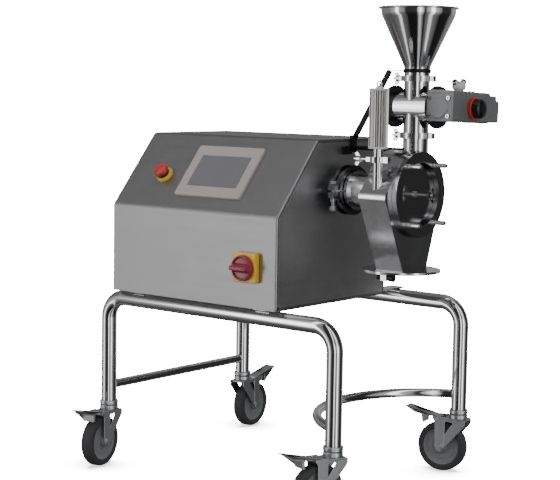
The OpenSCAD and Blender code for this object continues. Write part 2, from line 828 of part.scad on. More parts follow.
// Lid plate inside the dish with its hub and threaded spindle.
module inner_lid() {
    placed() color("gray") {
        rod_x([lid_x + 0.1, axis_y, axis_z], 2 * (door_r - 1 - dish_wall) - 1, 3);
        rod_x([lid_x + 3, axis_y, axis_z], 20, 7);
        rod_x([lid_x + 9, axis_y, axis_z], 8, 42);
    }
}

module cover_nuts() {
    x0 = drum_x1 + cover_t + 0.1;
    placed() color("gainsboro") for (y = [-stud_y, stud_y], z = [-stud_z, stud_z]) difference() {
        union() {
            rod_x([x0, axis_y + y, axis_z + z], nut_d, nut_len - 3);
            rod_x([x0, axis_y + y, axis_z + z], nut_d + 3, 5);
            rod_x([x0 + nut_len - 3, axis_y + y, axis_z + z], nut_d - 3, 3);
        }
        rod_x([x0 - 1, axis_y + y, axis_z + z], stud_d + 2 * run, 18);
    }
}

// A wing nut on a thread of diameter d along +X, wings up and down.
module wing_nut(d, span) {
    difference() {
        union() {
            rotate([0, 90, 0]) cylinder(d = d + 8, h = 9);
            for (s = [-1, 1]) hull() {
                translate([4, 0, s * (d / 2 + 2)]) cube([6, 4, 1], center = true);
                translate([10, 0, s * (span / 2 - 5)]) rotate([90, 0, 0])
                    cylinder(r = 5, h = 3, center = true, $fn = blend_fn);
            }
        }
        translate([-1, 0, 0]) rotate([0, 90, 0]) cylinder(d = d + 2 * run, h = 20);
    }
}

module lid_wing_nut() {
    placed() color("gainsboro") translate([lid_x + 36, axis_y, axis_z]) wing_nut(8, 34);
}

// ---------- outlet ----------

module outlet_flange() {
    top = chute_z - 0.1;
    placed() color("silver") difference() {
        rod_z([mid_x, outlet_cy, top - outlet_t], outlet_d, outlet_t);
        block([drum_x0 + drum_wall, axis_y + outlet_y0 + drum_wall, top - outlet_t - 1],
              [drum_x1 - drum_wall, axis_y + outlet_y1 - drum_wall, top + 1]);
    }
    placed() color("silver") difference() {
        block([mid_x - 8, pin_y - 9, top - outlet_t - 16], [mid_x + 8, pin_y + 9, top - outlet_t]);
        rod_x([mid_x - 9, pin_y, pin_z], 8 + 2 * run, 18);
    }
}

// Spring pin with a knurled grip, which holds the collecting vessel.
module outlet_pin() {
    placed() color("#34363a") {
        rod_x([mid_x - 16, pin_y, pin_z], 8, 27);
        rod_x([mid_x + 9, pin_y, pin_z], 15, 10);
        rod_x([mid_x + 18, pin_y, pin_z], 17, 5);
        rod_x([mid_x - 21, pin_y, pin_z], 12, 6);
    }
}

// ---------- feeder ----------

module feeder_body() {
    placed() color("silver") difference() {
        union() {
            rod_x([feeder_x0, pipe_y, feeder_z], feeder_d, feeder_len);
            rod_z([mid_x, pipe_y, lower_joint], pipe_d, upper_joint - lower_joint);
            rod_z([mid_x, pipe_y, lower_joint], ferrule_d, pipe_ferrule_t);
            rod_z([mid_x, pipe_y, upper_joint - pipe_ferrule_t], ferrule_d, pipe_ferrule_t);
        }
        rod_x([feeder_x0 - 1, pipe_y, feeder_z], feeder_d - 2 * pipe_wall, feeder_len + 2);
        rod_z([mid_x, pipe_y, lower_joint - 1], pipe_d - 2 * pipe_wall - 6, upper_joint - lower_joint + 2);
    }
}

// Shaft with six vanes that meter the grain.
module feeder_rotor() {
    vane_r = feeder_d / 2 - pipe_wall - 0.5;
    placed() color("gainsboro") {
        rod_x([feeder_x0 - 5, pipe_y, feeder_z], feeder_shaft_d, feeder_len + 5 + flange_t + 20);
        for (a = [0:60:300]) translate([0, pipe_y, feeder_z]) rotate([a, 0, 0])
            block([feeder_x0 + 1, -1, feeder_shaft_d / 2 - 1], [feeder_x1 - 1, 1, vane_r]);
    }
}

module feeder_end_flanges() {
    placed() color("#26272a") difference() {
        for (x = [feeder_x0 - flange_t, feeder_x1]) rod_x([x, pipe_y, feeder_z], feeder_flange_d, flange_t);
        rod_x([feeder_x0 - 6, pipe_y, feeder_z], feeder_shaft_d + 2 * run, feeder_len + flange_t + 10);
    }
}

// Tilts the gearmotor about the feeder's axis, as it hangs on its flange.
module on_gearmotor() {
    placed() translate([0, pipe_y, feeder_z]) rotate([gear_tilt, 0, 0])
        translate([0, -pipe_y, -feeder_z]) children();
}

module gearmotor() {
    z0 = feeder_z + gear_lift - gear_h / 2;
    z1 = z0 + gear_h;
    y1 = gear_y0 + gearmotor_len;
    on_gearmotor() color("#8b8d90") difference() {
        union() {
            block([gear_x0, gear_y0, z0], [gear_x1, y1 - 44, z1]);
            block([gear_x0 + 2, y1 - 44, z0 + 3], [gear_x1 - 2, y1 - 15, z1 - 6]);
            block([gear_x0 + 4, y1 - 15, z0 + 3], [gear_x1 - 4, y1, z1 - 17]);
            rod_y([gear_mid_x, gear_y0 - 4, feeder_z], 51, 5);
            for (x = [-26.5, 26.5], z = [-20, 20])
                rod_y([gear_mid_x + x, gear_y0 - 5, feeder_z + z], 9, 6);
        }
        rod_x([gear_x0 - 1, pipe_y, feeder_z], feeder_shaft_d + 2 * run, 22);
    }
}

module power_inlet() {
    collar_t = 8;
    on_gearmotor() {
        color("#c8321e") translate([gear_x1, inlet_y, feeder_z]) rotate([0, 90, 0]) rotate([0, 0, 22.5])
            cylinder(d = 50, h = collar_t, $fn = 8);
        color("#1c1c1e") translate([gear_x1 + collar_t, inlet_y, feeder_z]) rotate([0, 90, 0]) rotate_extrude()
            polygon([[0, 0], [22, 0], [22, 12], [20, 16], [15, inlet_out - collar_t - 1],
                     [10, inlet_out - collar_t], [0, inlet_out - collar_t]]);
    }
}

// Round junction on top of the gearmotor with two small cable sockets.
module cable_outlets() {
    z1 = feeder_z + gear_lift + gear_h / 2;
    ball_r = 16.5;
    y = gear_y0 + 80;
    on_gearmotor() color("gainsboro") difference() {
        union() {
            rod_z([gear_mid_x, y, z1], 24, 8);
            translate([gear_mid_x, y, z1 + ball_r - 3]) sphere(r = ball_r);
            for (s = [-1, 1]) translate([gear_mid_x, y + s * 11, z1 + ball_r + 6]) cylinder(d = 13, h = 16);
        }
        for (s = [-1, 1]) translate([gear_mid_x, y + s * 11, z1 + ball_r + 14]) cylinder(d = 7, h = 20);
        translate([gear_mid_x, y, z1 - 20]) cube([60, 60, 40], center = true);
    }
}

// ---------- hopper, clamps and filter ----------

module hopper() {
    z0 = upper_joint;
    z1 = z0 + neck_h;
    z2 = z1 + cone_h;
    z3 = hopper_top;
    r0 = pipe_d / 2;
    r2 = rim_d / 2 - 7;
    t = hopper_wall;
    placed() color("silver") translate([mid_x, pipe_y, 0]) rotate_extrude()
        polygon([[r0 - t, z0], [ferrule_d / 2, z0], [ferrule_d / 2, z0 + pipe_ferrule_t],
                 [r0, z0 + pipe_ferrule_t],
                 [r0, z1], [r2, z2], [r2, z3 - rim_t], [rim_d / 2, z3 - rim_t], [rim_d / 2, z3], [r2 - t, z3],
                 [r2 - t, z2], [r0 - t, z1]]);
}

// One clamp ring round a pair of ferrules, with its hinge at +X and its closing lugs at -X.
module clamp_ring(pipe, ferrule, outer) {
    difference() {
        union() {
            translate([0, 0, -clamp_h / 2]) cylinder(d = outer, h = clamp_h);
            block([outer / 2 - 4, -6, -6.5], [outer / 2 + 12, 6, 6.5]);
            block([-outer / 2 - 8, -9, -5], [-outer / 2 + 4, 9, 5]);
        }
        translate([0, 0, -clamp_h]) cylinder(d = pipe + 2, h = 2 * clamp_h);
        translate([0, 0, -pipe_ferrule_t - 0.3]) cylinder(d = ferrule + 0.6, h = 2 * pipe_ferrule_t + 0.6);
        block([-outer / 2 - 20, -1.5, -clamp_h], [-pipe / 2 + 2, 1.5, clamp_h]);
    }
}

// The eye bolt that closes a clamp, towards -X.
module clamp_bolt(outer, len) {
    translate([-outer / 2 - 8 - len, 0, 0]) rotate([0, 90, 0]) cylinder(d = 6, h = len);
    block([-outer / 2 - 10, -7, -3.5], [-outer / 2 - 8, 7, 3.5]);
}

module pipe_clamps() {
    placed() color("gainsboro") for (i = [0:2]) translate(CLAMP_AT[i]) {
        clamp_ring(CLAMP_SIZE[i][0], CLAMP_SIZE[i][1], CLAMP_SIZE[i][2]);
        clamp_bolt(CLAMP_SIZE[i][2], BOLT_LEN[i]);
    }
}

module clamp_wing_nut(i) {
    placed() color("gainsboro") translate(CLAMP_AT[i] - [CLAMP_SIZE[i][2] / 2 + BOLT_LEN[i] - 9.5, 0, 0])
        rotate([0, 0, 180]) wing_nut(6, 30);
}

module upper_wing_nut() {
    clamp_wing_nut(0);
}

module lower_wing_nut() {
    clamp_wing_nut(1);
}

module filter_wing_nut() {
    clamp_wing_nut(2);
}

// Breather cartridge: clamp ferrule, base, pleated body, top cap and lifting eye.
module filter_cartridge() {
    placed() color("lightgray") translate([mid_x, vent_y, 0]) {
        difference() {
            union() {
                rod_z([0, 0, vent_joint], vent_d + 6, pipe_ferrule_t);
                rod_z([0, 0, vent_joint + pipe_ferrule_t - 1], vent_d, filter_z - vent_joint);
                rod_z([0, 0, filter_z], filter_d, filter_h);
                rod_z([0, 0, filter_z + filter_h - 1], 16, 5);
            }
            rod_z([0, 0, vent_joint - 1], vent_d - 6, filter_z - vent_joint + 20);
        }
        translate([0, 0, filter_z + filter_h + eye_h]) rotate([90, 0, 0]) rotate_extrude()
            translate([6, 0]) circle(d = 4, $fn = 24);
    }
}

// Flat bar from the cabinet to a band round the hopper's neck, with the tie that steadies the drum.
module hopper_brace() {
    brace_t = 5;
    brace_w = 13;
    foot_z = cab_top + 4;
    head_x = mid_x - 76;
    head_z = upper_joint + 17;
    foot_x = cab_x1 + 6;
    slant = atan2(head_z - foot_z, head_x - foot_x);
    bar_len = (head_z - foot_z) / sin(slant);
    tie_r = 8;
    tie_off = pipe_y - tie_r - axis_y;
    tie_z = axis_z + sqrt(drum_r * drum_r - tie_off * tie_off) + seat;
    tie_x = mid_x - pipe_d / 2 - 12;
    placed() color("#202124") {
        translate([foot_x, pipe_y, foot_z]) rotate([0, -slant, 0])
            block([0, -brace_t / 2, -brace_w / 2], [bar_len, brace_t / 2, brace_w / 2]);
        block([cab_x1 + 2.5, pipe_y - tie_r, tie_z], [tie_x, pipe_y + tie_r, tie_z + 9]);
        rod_z([tie_x, pipe_y, tie_z], 2 * tie_r, 9);
        block([cab_x1, pipe_y - 44, tie_z - 10], [cab_x1 + 7, pipe_y - 12 - seat, tie_z + 8]);
    }
    placed() color("gainsboro") {
        block([cab_x1, pipe_y - 12, tie_z - 6], [cab_x1 + 2.5, pipe_y + 12, foot_z + 4]);
        block([cab_x1, pipe_y - 12, foot_z - 8], [foot_x + 4, pipe_y - 9, foot_z + 4]);
        difference() {
            union() {
                rod_z([mid_x, pipe_y, head_z - 4], pipe_d + 5, 8);
                block([head_x - 3, pipe_y - 6, head_z - 1], [mid_x - pipe_d / 2, pipe_y + 6, head_z + 1.5]);
            }
            rod_z([mid_x, pipe_y, head_z - 5], pipe_d + 0.4, 10);
        }
    }
}

// ---------- what is drawn ----------

for (i = [0:3]) {
    caster_fork(i);
    caster_wheel(i);
    caster_pedal(i);
}
caster_stems();
front_frame_tube();
rear_frame_tube();
left_cross_tube();
right_bow_tube();
support_bars();
cabinet_wrap();
cabinet_sides();
cabinet_base();
cabinet_back();
mains_gland();
touch_panel();
touch_screen();
estop_collar();
estop_button();
isolator_plate();
isolator_knob();
motor_bracket();
drive_motor();
shaft_coupling();
drive_shaft();
spindle_housing();
spindle_bearings();
mill_chamber();
neck_clamp();
neck_clamp_screw();
mill_screen();
rotor();
hammers();
front_cover();
inner_lid();
cover_nuts();
lid_wing_nut();
outlet_flange();
outlet_pin();
feeder_body();
feeder_rotor();
feeder_end_flanges();
gearmotor();
power_inlet();
cable_outlets();
hopper();
pipe_clamps();
upper_wing_nut();
lower_wing_nut();
filter_wing_nut();
filter_cartridge();
hopper_brace();
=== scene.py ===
"""Finishes a laboratory hammer mill: polished tube stand, sheet cabinet, drum, feeder and hopper."""

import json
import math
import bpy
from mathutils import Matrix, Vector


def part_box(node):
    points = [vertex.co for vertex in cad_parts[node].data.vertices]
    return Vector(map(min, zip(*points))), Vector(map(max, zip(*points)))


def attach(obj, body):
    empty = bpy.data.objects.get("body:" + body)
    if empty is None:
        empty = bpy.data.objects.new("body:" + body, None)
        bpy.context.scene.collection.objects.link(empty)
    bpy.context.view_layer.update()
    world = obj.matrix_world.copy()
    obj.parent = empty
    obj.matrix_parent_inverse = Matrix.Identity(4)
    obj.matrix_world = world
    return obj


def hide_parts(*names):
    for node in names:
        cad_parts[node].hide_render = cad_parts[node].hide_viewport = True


bl_info = {
    "name": "Hammer Mill Finisher",
    "version": (1, 0, 0),
    "blender": (4, 5, 0),
    "location": "View3D > Sidebar > Mill",
    "description": "Builds the visible pieces of a laboratory hammer mill over its CAD frame",
    "category": "Object",
}

import bmesh
import bpy
from bpy.props import FloatProperty, IntProperty, PointerProperty, StringProperty
from mathutils import Matrix, Vector

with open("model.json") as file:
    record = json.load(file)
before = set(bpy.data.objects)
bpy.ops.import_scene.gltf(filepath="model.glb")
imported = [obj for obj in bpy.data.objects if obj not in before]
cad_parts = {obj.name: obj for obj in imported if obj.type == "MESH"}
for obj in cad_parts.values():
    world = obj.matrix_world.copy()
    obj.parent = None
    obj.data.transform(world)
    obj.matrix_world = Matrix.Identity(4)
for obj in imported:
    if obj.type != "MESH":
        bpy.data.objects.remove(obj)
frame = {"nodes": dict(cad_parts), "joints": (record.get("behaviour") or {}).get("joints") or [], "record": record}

MM = 0.001
RECORD = frame["record"]
BODY_OF = {node: body for body, nodes in RECORD["behaviour"]["bodies"].items() for node in nodes}
JOINT = {joint["name"]: joint for joint in frame["joints"]}
CORNERS = ("fl", "fr", "bl", "br")
# Lays Z down along Y, for axles and for plates that stand on edge.
ON_SIDE = Matrix.Rotation(math.pi / 2, 4, "X")
# Faces that meet at more than this many degrees keep a hard edge between them.
SHARP = 32


# ---------- sizes and colours that a user would change ----------


class MillStand(bpy.types.PropertyGroup):
    """Sizes of the stand and its casters."""

    bend: FloatProperty(name="Tube bend", description="Centre-line radius of the tube bends",
                        default=0.055, unit="LENGTH")
    weld: FloatProperty(name="Weld bead", description="Radius of the weld beads",
                        default=0.0016, unit="LENGTH")
    tread: FloatProperty(name="Tread width", description="Flat width of the tyre's tread",
                         default=0.018, unit="LENGTH")


class MillCabinet(bpy.types.PropertyGroup):
    """Sizes of the cabinet and its controls."""

    fold: FloatProperty(name="Fold", description="Outside radius of the sheet's folds",
                        default=0.004, unit="LENGTH")
    frame_edge: FloatProperty(name="Panel edge", description="Rounding of the touch panel's frame",
                              default=0.0022, unit="LENGTH")


class MillDetails(bpy.types.PropertyGroup):
    """Sizes of the small repeated things."""

    pleats: IntProperty(name="Pleats", description="Number of pleats round the filter",
                        default=22, min=8, max=90)
    screw: FloatProperty(name="Screw head", description="Diameter of the gearmotor's screw heads",
                         default=0.009, unit="LENGTH")


class MillColours(bpy.types.PropertyGroup):
    """Colours of the painted, moulded and fibrous surfaces, as sRGB hex."""

    frame_grey: StringProperty(name="Panel frame", description="Moulded frame", default="a39a98")
    screen: StringProperty(name="Screen", description="Display behind its glass", default="6c6b70")
    collar: StringProperty(name="Yellow", description="Collar and isolator plate", default="e2b52c")
    button: StringProperty(name="Red", description="Mushroom button", default="b52a28")
    handle: StringProperty(name="Handle", description="Isolator handle", default="8a2a3f")
    casting: StringProperty(name="Casting", description="Gearmotor enamel", default="8c8e90")
    media: StringProperty(name="Filter media", description="Pleated steel mesh", default="e0e0dd")
    rubber: StringProperty(name="Tyre", description="Tyre rubber", default="3a3a3c")
    hub: StringProperty(name="Hub", description="Moulded wheel centre", default="7c7d7f")


# ---------- nodes and finishes ----------


def linear(hex_text):
    """An sRGB hex value as linear RGBA."""
    parts = [int(hex_text[i:i + 2], 16) / 255 for i in (0, 2, 4)]
    return tuple(p / 12.92 if p <= 0.04045 else ((p + 0.055) / 1.055) ** 2.4 for p in parts) + (1.0,)


def add(tree, kind, settings=None, links=None):
    """Adds a node. Settings are properties or unlinked sockets, links are (node, output) by socket."""
    made = tree.nodes.new(kind)
    for key, value in (settings or {}).items():
        if isinstance(key, str) and hasattr(made, key):
            setattr(made, key, value)
        else:
            made.inputs[key].default_value = value
    for key, (source, output) in (links or {}).items():
        tree.links.new(source.outputs[output], made.inputs[key])
    return made


def blank(name):
    """A new material with an empty tree, its output, its shader and its object coordinates."""
    material = bpy.data.materials.new(name)
    material.use_nodes = True
    tree = material.node_tree
    tree.nodes.clear()
    shader = add(tree, "ShaderNodeBsdfPrincipled")
    add(tree, "ShaderNodeOutputMaterial", links={"Surface": (shader, "BSDF")})
    place = add(tree, "ShaderNodeTexCoord")
    return material, tree, shader, place


def per_mm(size_mm):
    """A texture scale, in repeats per metre, for a feature of that size."""
    return 1000.0 / size_mm


def dress(tree, shader, base, tint, pattern, roughness, relief, strength, depth=0.0001):
    """Ends a finish: its pattern moves the tone and the roughness, and its relief makes a fine bump."""
    rough = add(tree, "ShaderNodeMapRange", {"From Min": 0.3, "From Max": 0.7, "To Min": roughness[0],
                                             "To Max": roughness[1]}, {0: (pattern, 0)})
    dark = tuple(c * (1 - tint) for c in linear(base)[:3]) + (1.0,)
    tone = add(tree, "ShaderNodeMix", {"data_type": "RGBA", 6: dark, 7: linear(base)}, {0: (pattern, 0)})
    bump = add(tree, "ShaderNodeBump", {"Strength": strength, "Distance": depth}, {"Height": (relief, 0)})
    tree.links.new(rough.outputs[0], shader.inputs["Roughness"])
    tree.links.new(tone.outputs[2], shader.inputs["Base Color"])
    tree.links.new(bump.outputs[0], shader.inputs["Normal"])


def metal(name, base, roughness, spread, grain, stretch, scratch, tint=0.06):
    """Bare metal: its grain is a stretched noise that moves the roughness, the tone and a fine bump."""
    material, tree, shader, place = blank(name)
    shader.inputs["Metallic"].default_value = 1.0
    turned = add(tree, "ShaderNodeMapping", {"Scale": stretch}, {"Vector": (place, "Object")})
    fine = add(tree, "ShaderNodeTexNoise", {"Scale": per_mm(grain), "Detail": 3.0}, {"Vector": (turned, 0)})
    cloud = add(tree, "ShaderNodeTexNoise", {"Scale": per_mm(CLOUD), "Detail": 2.0},
                {"Vector": (place, "Object")})
    both = add(tree, "ShaderNodeMath", {"operation": "MULTIPLY_ADD", 1: 0.65}, {0: (fine, 0)})
    share = add(tree, "ShaderNodeMath", {"operation": "MULTIPLY", 1: 0.35}, {0: (cloud, 0)})
    tree.links.new(share.outputs[0], both.inputs[2])
    dress(tree, shader, base, tint, both, (max(roughness - spread, 0.02), roughness + spread), fine, scratch)
    return material


def turned_metal(name, base, roughness, grain, centre, axis):
    """Lathe-turned metal: fine rings round an axis, read from the distance to it."""
    material, tree, shader, place = blank(name)
    shader.inputs["Metallic"].default_value = 1.0
    keep = tuple(0.0 if i == axis else 1.0 for i in range(3))
    local = add(tree, "ShaderNodeVectorMath", {"operation": "SUBTRACT", 1: tuple(c * MM for c in centre)},
                {0: (place, "Object")})
    flat = add(tree, "ShaderNodeVectorMath", {"operation": "MULTIPLY", 1: keep}, {0: (local, 0)})
    reach = add(tree, "ShaderNodeVectorMath", {"operation": "LENGTH"}, {0: (flat, 0)})
    rings = add(tree, "ShaderNodeTexNoise", {"noise_dimensions": "1D", "Scale": per_mm(grain), "Detail": 4.0},
                {"W": (reach, "Value")})
    dress(tree, shader, base, 0.12, rings, (roughness * 0.7, roughness * 1.3), rings, 0.12)
    return material


def coated(name, base, roughness, grain, relief, worn=0.12, coat=0.0, ior=1.5):
    """Paint, plastic or rubber: a grain for the mould or spray texture, and a slow drift of tone."""
    material, tree, shader, place = blank(name)
    shader.inputs["IOR"].default_value = ior
    shader.inputs["Coat Weight"].default_value = coat
    skin = add(tree, "ShaderNodeTexNoise", {"Scale": per_mm(grain), "Detail": 2.0},
               {"Vector": (place, "Object")})
    drift = add(tree, "ShaderNodeTexNoise", {"Scale": per_mm(DRIFT), "Detail": 3.0},
                {"Vector": (place, "Object")})
    ends = (roughness * 0.85, min(roughness * 1.15, 1.0))
    dress(tree, shader, base, worn, drift, ends, skin, relief, 0.0002)
    return material


FINISH = {}

# The size of the clouds in bare metal and of the drift of tone in a coating, in millimetres.
CLOUD = 60
DRIFT = 35


def make_finishes(colours):
    """Every finish on the machine, by a plain name."""
    axis = [c / MM for c in JOINT["rotor_spin"]["pos_m"]]
    FINISH.update({
        # Drawn stainless tube, mirror polished: streaks of light and dark along the tube.
        "polished_tube": metal("polished stainless tube", "e2e2e4", 0.09, 0.03, 3.0, (1, 1, 1), 0.02),
        # Stainless sheet with a horizontal brush: long hairlines that pull highlights across them.
        # The real lines are a tenth of a millimetre apart, and are drawn 4 mm apart so that they show.
        "brushed_sheet": metal("brushed stainless sheet", "a6a6a7", 0.40, 0.03, 4.0, (0.02, 1, 1), 0.05,
                               0.14),
        # Side panels, brushed front to back, on a lighter base than the front sheet: painted light that lifts the
        # sides out of their shade.
        "brushed_side_painted_light": metal("brushed stainless side, painted lighter", "cdcdce", 0.40, 0.03, 4.0, (1, 0.02, 1), 0.05, 0.14),
        # Fabricated and satin-polished stainless: soft cloudy reflections.
        "satin_steel": metal("satin polished stainless", "cfcfd1", 0.17, 0.05, 2.0, (1, 1, 0.3), 0.06),
        # Spun stainless cone, polished on the lathe.
        "spun_steel": metal("spun polished stainless", "dcdcde", 0.10, 0.03, 1.6, (1, 1, 0.02), 0.03),
        # Investment-cast and tumbled stainless: a slight orange peel.
        "cast_hardware": metal("cast polished stainless", "d8d8da", 0.14, 0.04, 2.5, (1, 1, 1), 0.10),
        # Pressed steel with bright zinc: faint spangle, cooler than stainless.
        "zinc_plate": metal("bright zinc plate", "c8cbcd", 0.40, 0.04, 1.5, (1, 1, 1), 0.04, 0.05),
        # Faced on a lathe: fine rings that spread a highlight into a fan.
        "turned_face": turned_metal("turned stainless face", "a4a4a6", 0.18, 0.9, axis, 0),
        # Milled and turned steel inside the machine: duller, with marks across it.
        "machined": metal("machined steel", "a9abad", 0.28, 0.06, 1.0, (1, 0.1, 0.1), 0.08),
        # Blued band steel: dark, but still a metal with streaks along it.
        "dark_band": metal("blued band steel", "6a6b6e", 0.22, 0.06, 2.0, (1, 1, 1), 0.08, 0.15),
        # Black oxide on steel: nearly black, with a dull oily sheen.
        "black_oxide": coated("black oxide steel", "141517", 0.36, 1.2, 0.10, 0.25),
        # Air-dried enamel on the brace: flat black, with hardly any sheen.
        "black_enamel": coated("black enamel", "0c0c0e", 0.5, 1.5, 0.06, 0.15, 0.0, 1.35),
        # Sand-cast aluminium under sprayed enamel: pebbled skin, soft gloss.
        "cast_enamel": coated("enamelled casting", colours.casting, 0.42, 1.6, 0.28, 0.10),
        # A darker copy of the same enamel for the motor and its end cover: painted shade on the sides that face
        # away from the lights.
        "cast_enamel_painted_shade": coated("enamelled motor shell in painted shade", "626466", 0.46, 1.6, 0.28, 0.10),
        "inlet_red": coated("moulded red collar", "c4321f", 0.35, 0.8, 0.05, 0.08, 0.2),
        "motor_enamel": coated("motor enamel", "4f6277", 0.4, 1.5, 0.15),
        # Injection-moulded plastics, each with a fine spark-eroded texture.
        "frame_plastic": coated("moulded panel frame", colours.frame_grey, 0.45, 0.6, 0.12, 0.05),
        "yellow_plastic": coated("moulded yellow", colours.collar, 0.32, 0.8, 0.05, 0.05, 0.2),
        "red_plastic": coated("moulded red", colours.button, 0.28, 0.8, 0.04, 0.06, 0.3),
        "handle_plastic": coated("moulded dark red", colours.handle, 0.30, 0.8, 0.05, 0.08, 0.2),
        "black_plastic": coated("moulded polyamide", "121214", 0.30, 0.8, 0.05, 0.1),
        "light_plastic": coated("light polyamide", "c9c9c8", 0.42, 0.8, 0.10, 0.08),
        "hub_plastic": coated("moulded wheel centre", colours.hub, 0.45, 0.8, 0.12, 0.10),
        # Moulded thermoplastic rubber: matt, with a very fine mould grain.
        "tyre_rubber": coated("moulded tyre rubber", colours.rubber, 0.68, 0.9, 0.25, 0.15),
        # Pleated and sintered steel mesh: each fold catches its own soft upright highlight.
        # The core behind the pleats is a darker copy of the same mesh: painted shade between the folds.
        "media_shade": metal("shaded steel mesh", "8c8c8a", 0.5, 0.05, 1.5, (1, 1, 1), 0.2),
        "media": metal("pleated steel mesh", colours.media, 0.36, 0.06, 1.5, (1, 1, 1), 0.3, 0.10),
        # Display under hard-coated glass: a grey picture with sharp reflections over it.
        "screen": coated("display glass", colours.screen, 0.12, 30.0, 0.0, 0.05, 1.0, 1.52),
        # Primed sheet under the cabinet, matt and pale, seen only mirrored in the tube below it.
        "primer": coated("primed steel sheet", "c2c2c0", 0.8, 1.5, 0.05, 0.06),
        # Near-black for hollows, the space behind vents and the inside of bores: painted shade where the inside
        # would only lie in shadow.
        "painted_shade_inside": coated("shaded inside", "0c0c0d", 0.9, 2.0, 0.0),
    })


# ---------- shapes, in millimetres ----------


def box_mm(node):
    """A CAD node's lowest and highest corner in millimetres."""
    low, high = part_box(node)
    return low / MM, high / MM


def joint_mm(name):
    """Where a hinge is, in millimetres."""
    return Vector(JOINT[name]["pos_m"]) / MM


def soften(points, radius, closed=True, steps=4):
    """Rounds the corners of a 2-D line. Radius is one number, or one for each corner."""
    count = len(points)
    made = []
    for i, point in enumerate(points):
        r = radius[i] if isinstance(radius, (list, tuple)) else radius
        corner = Vector(point)
        if r <= 0 or (not closed and i in (0, count - 1)):
            made.append(tuple(corner))
            continue
        back = Vector(points[i - 1]) - corner
        ahead = Vector(points[(i + 1) % count]) - corner
        reach = min(r, 0.48 * back.length, 0.48 * ahead.length)
        a = corner + back.normalized() * reach
        b = corner + ahead.normalized() * reach
        for k in range(steps + 1):
            t = k / steps
            made.append(tuple(a * (1 - t) ** 2 + corner * 2 * t * (1 - t) + b * t ** 2))
    return made


def rectangle(width, height, radius=0.0, steps=4):
    """A rounded rectangle about the origin, counter-clockwise."""
    w, h = width / 2, height / 2
    return soften([(-w, -h), (w, -h), (w, h), (-w, h)], radius, steps=steps)


def disc(radius, steps=48, start=0.0):
    """A circle of points, counter-clockwise."""
    return [(radius * math.cos(start + math.tau * i / steps), radius * math.sin(start + math.tau * i / steps))
            for i in range(steps)]


def inset(outline, depth):
    """An outline moved inwards by depth."""
    made = []
    count = len(outline)
    for i, point in enumerate(outline):
        before = Vector(point) - Vector(outline[i - 1])
        after = Vector(outline[(i + 1) % count]) - Vector(point)
        if before.length < 1e-6 or after.length < 1e-6:
            before = after = (before + after)
        n1 = Vector((-before.y, before.x)).normalized()
        n2 = Vector((-after.y, after.x)).normalized()
        made.append(tuple(Vector(point) + (n1 + n2) * depth / max(1 + n1.dot(n2), 0.3)))
    return made


def at(x, y, z):
    """A place in millimetres, with nothing turned."""
    return Matrix.Translation((x, y, z))


def pointing(origin, axis, side=None):
    """A place whose Z runs along axis, and whose X is as near to side as it can be."""
    z = Vector(axis).normalized()
    side = Vector(side) if side else Vector((0, 0, 1) if abs(z.z) < 0.9 else (1, 0, 0))
    x = (side - z * side.dot(z)).normalized()
    y = z.cross(x)
    return Matrix.Translation(origin) @ Matrix((x, y, z)).transposed().to_4x4()


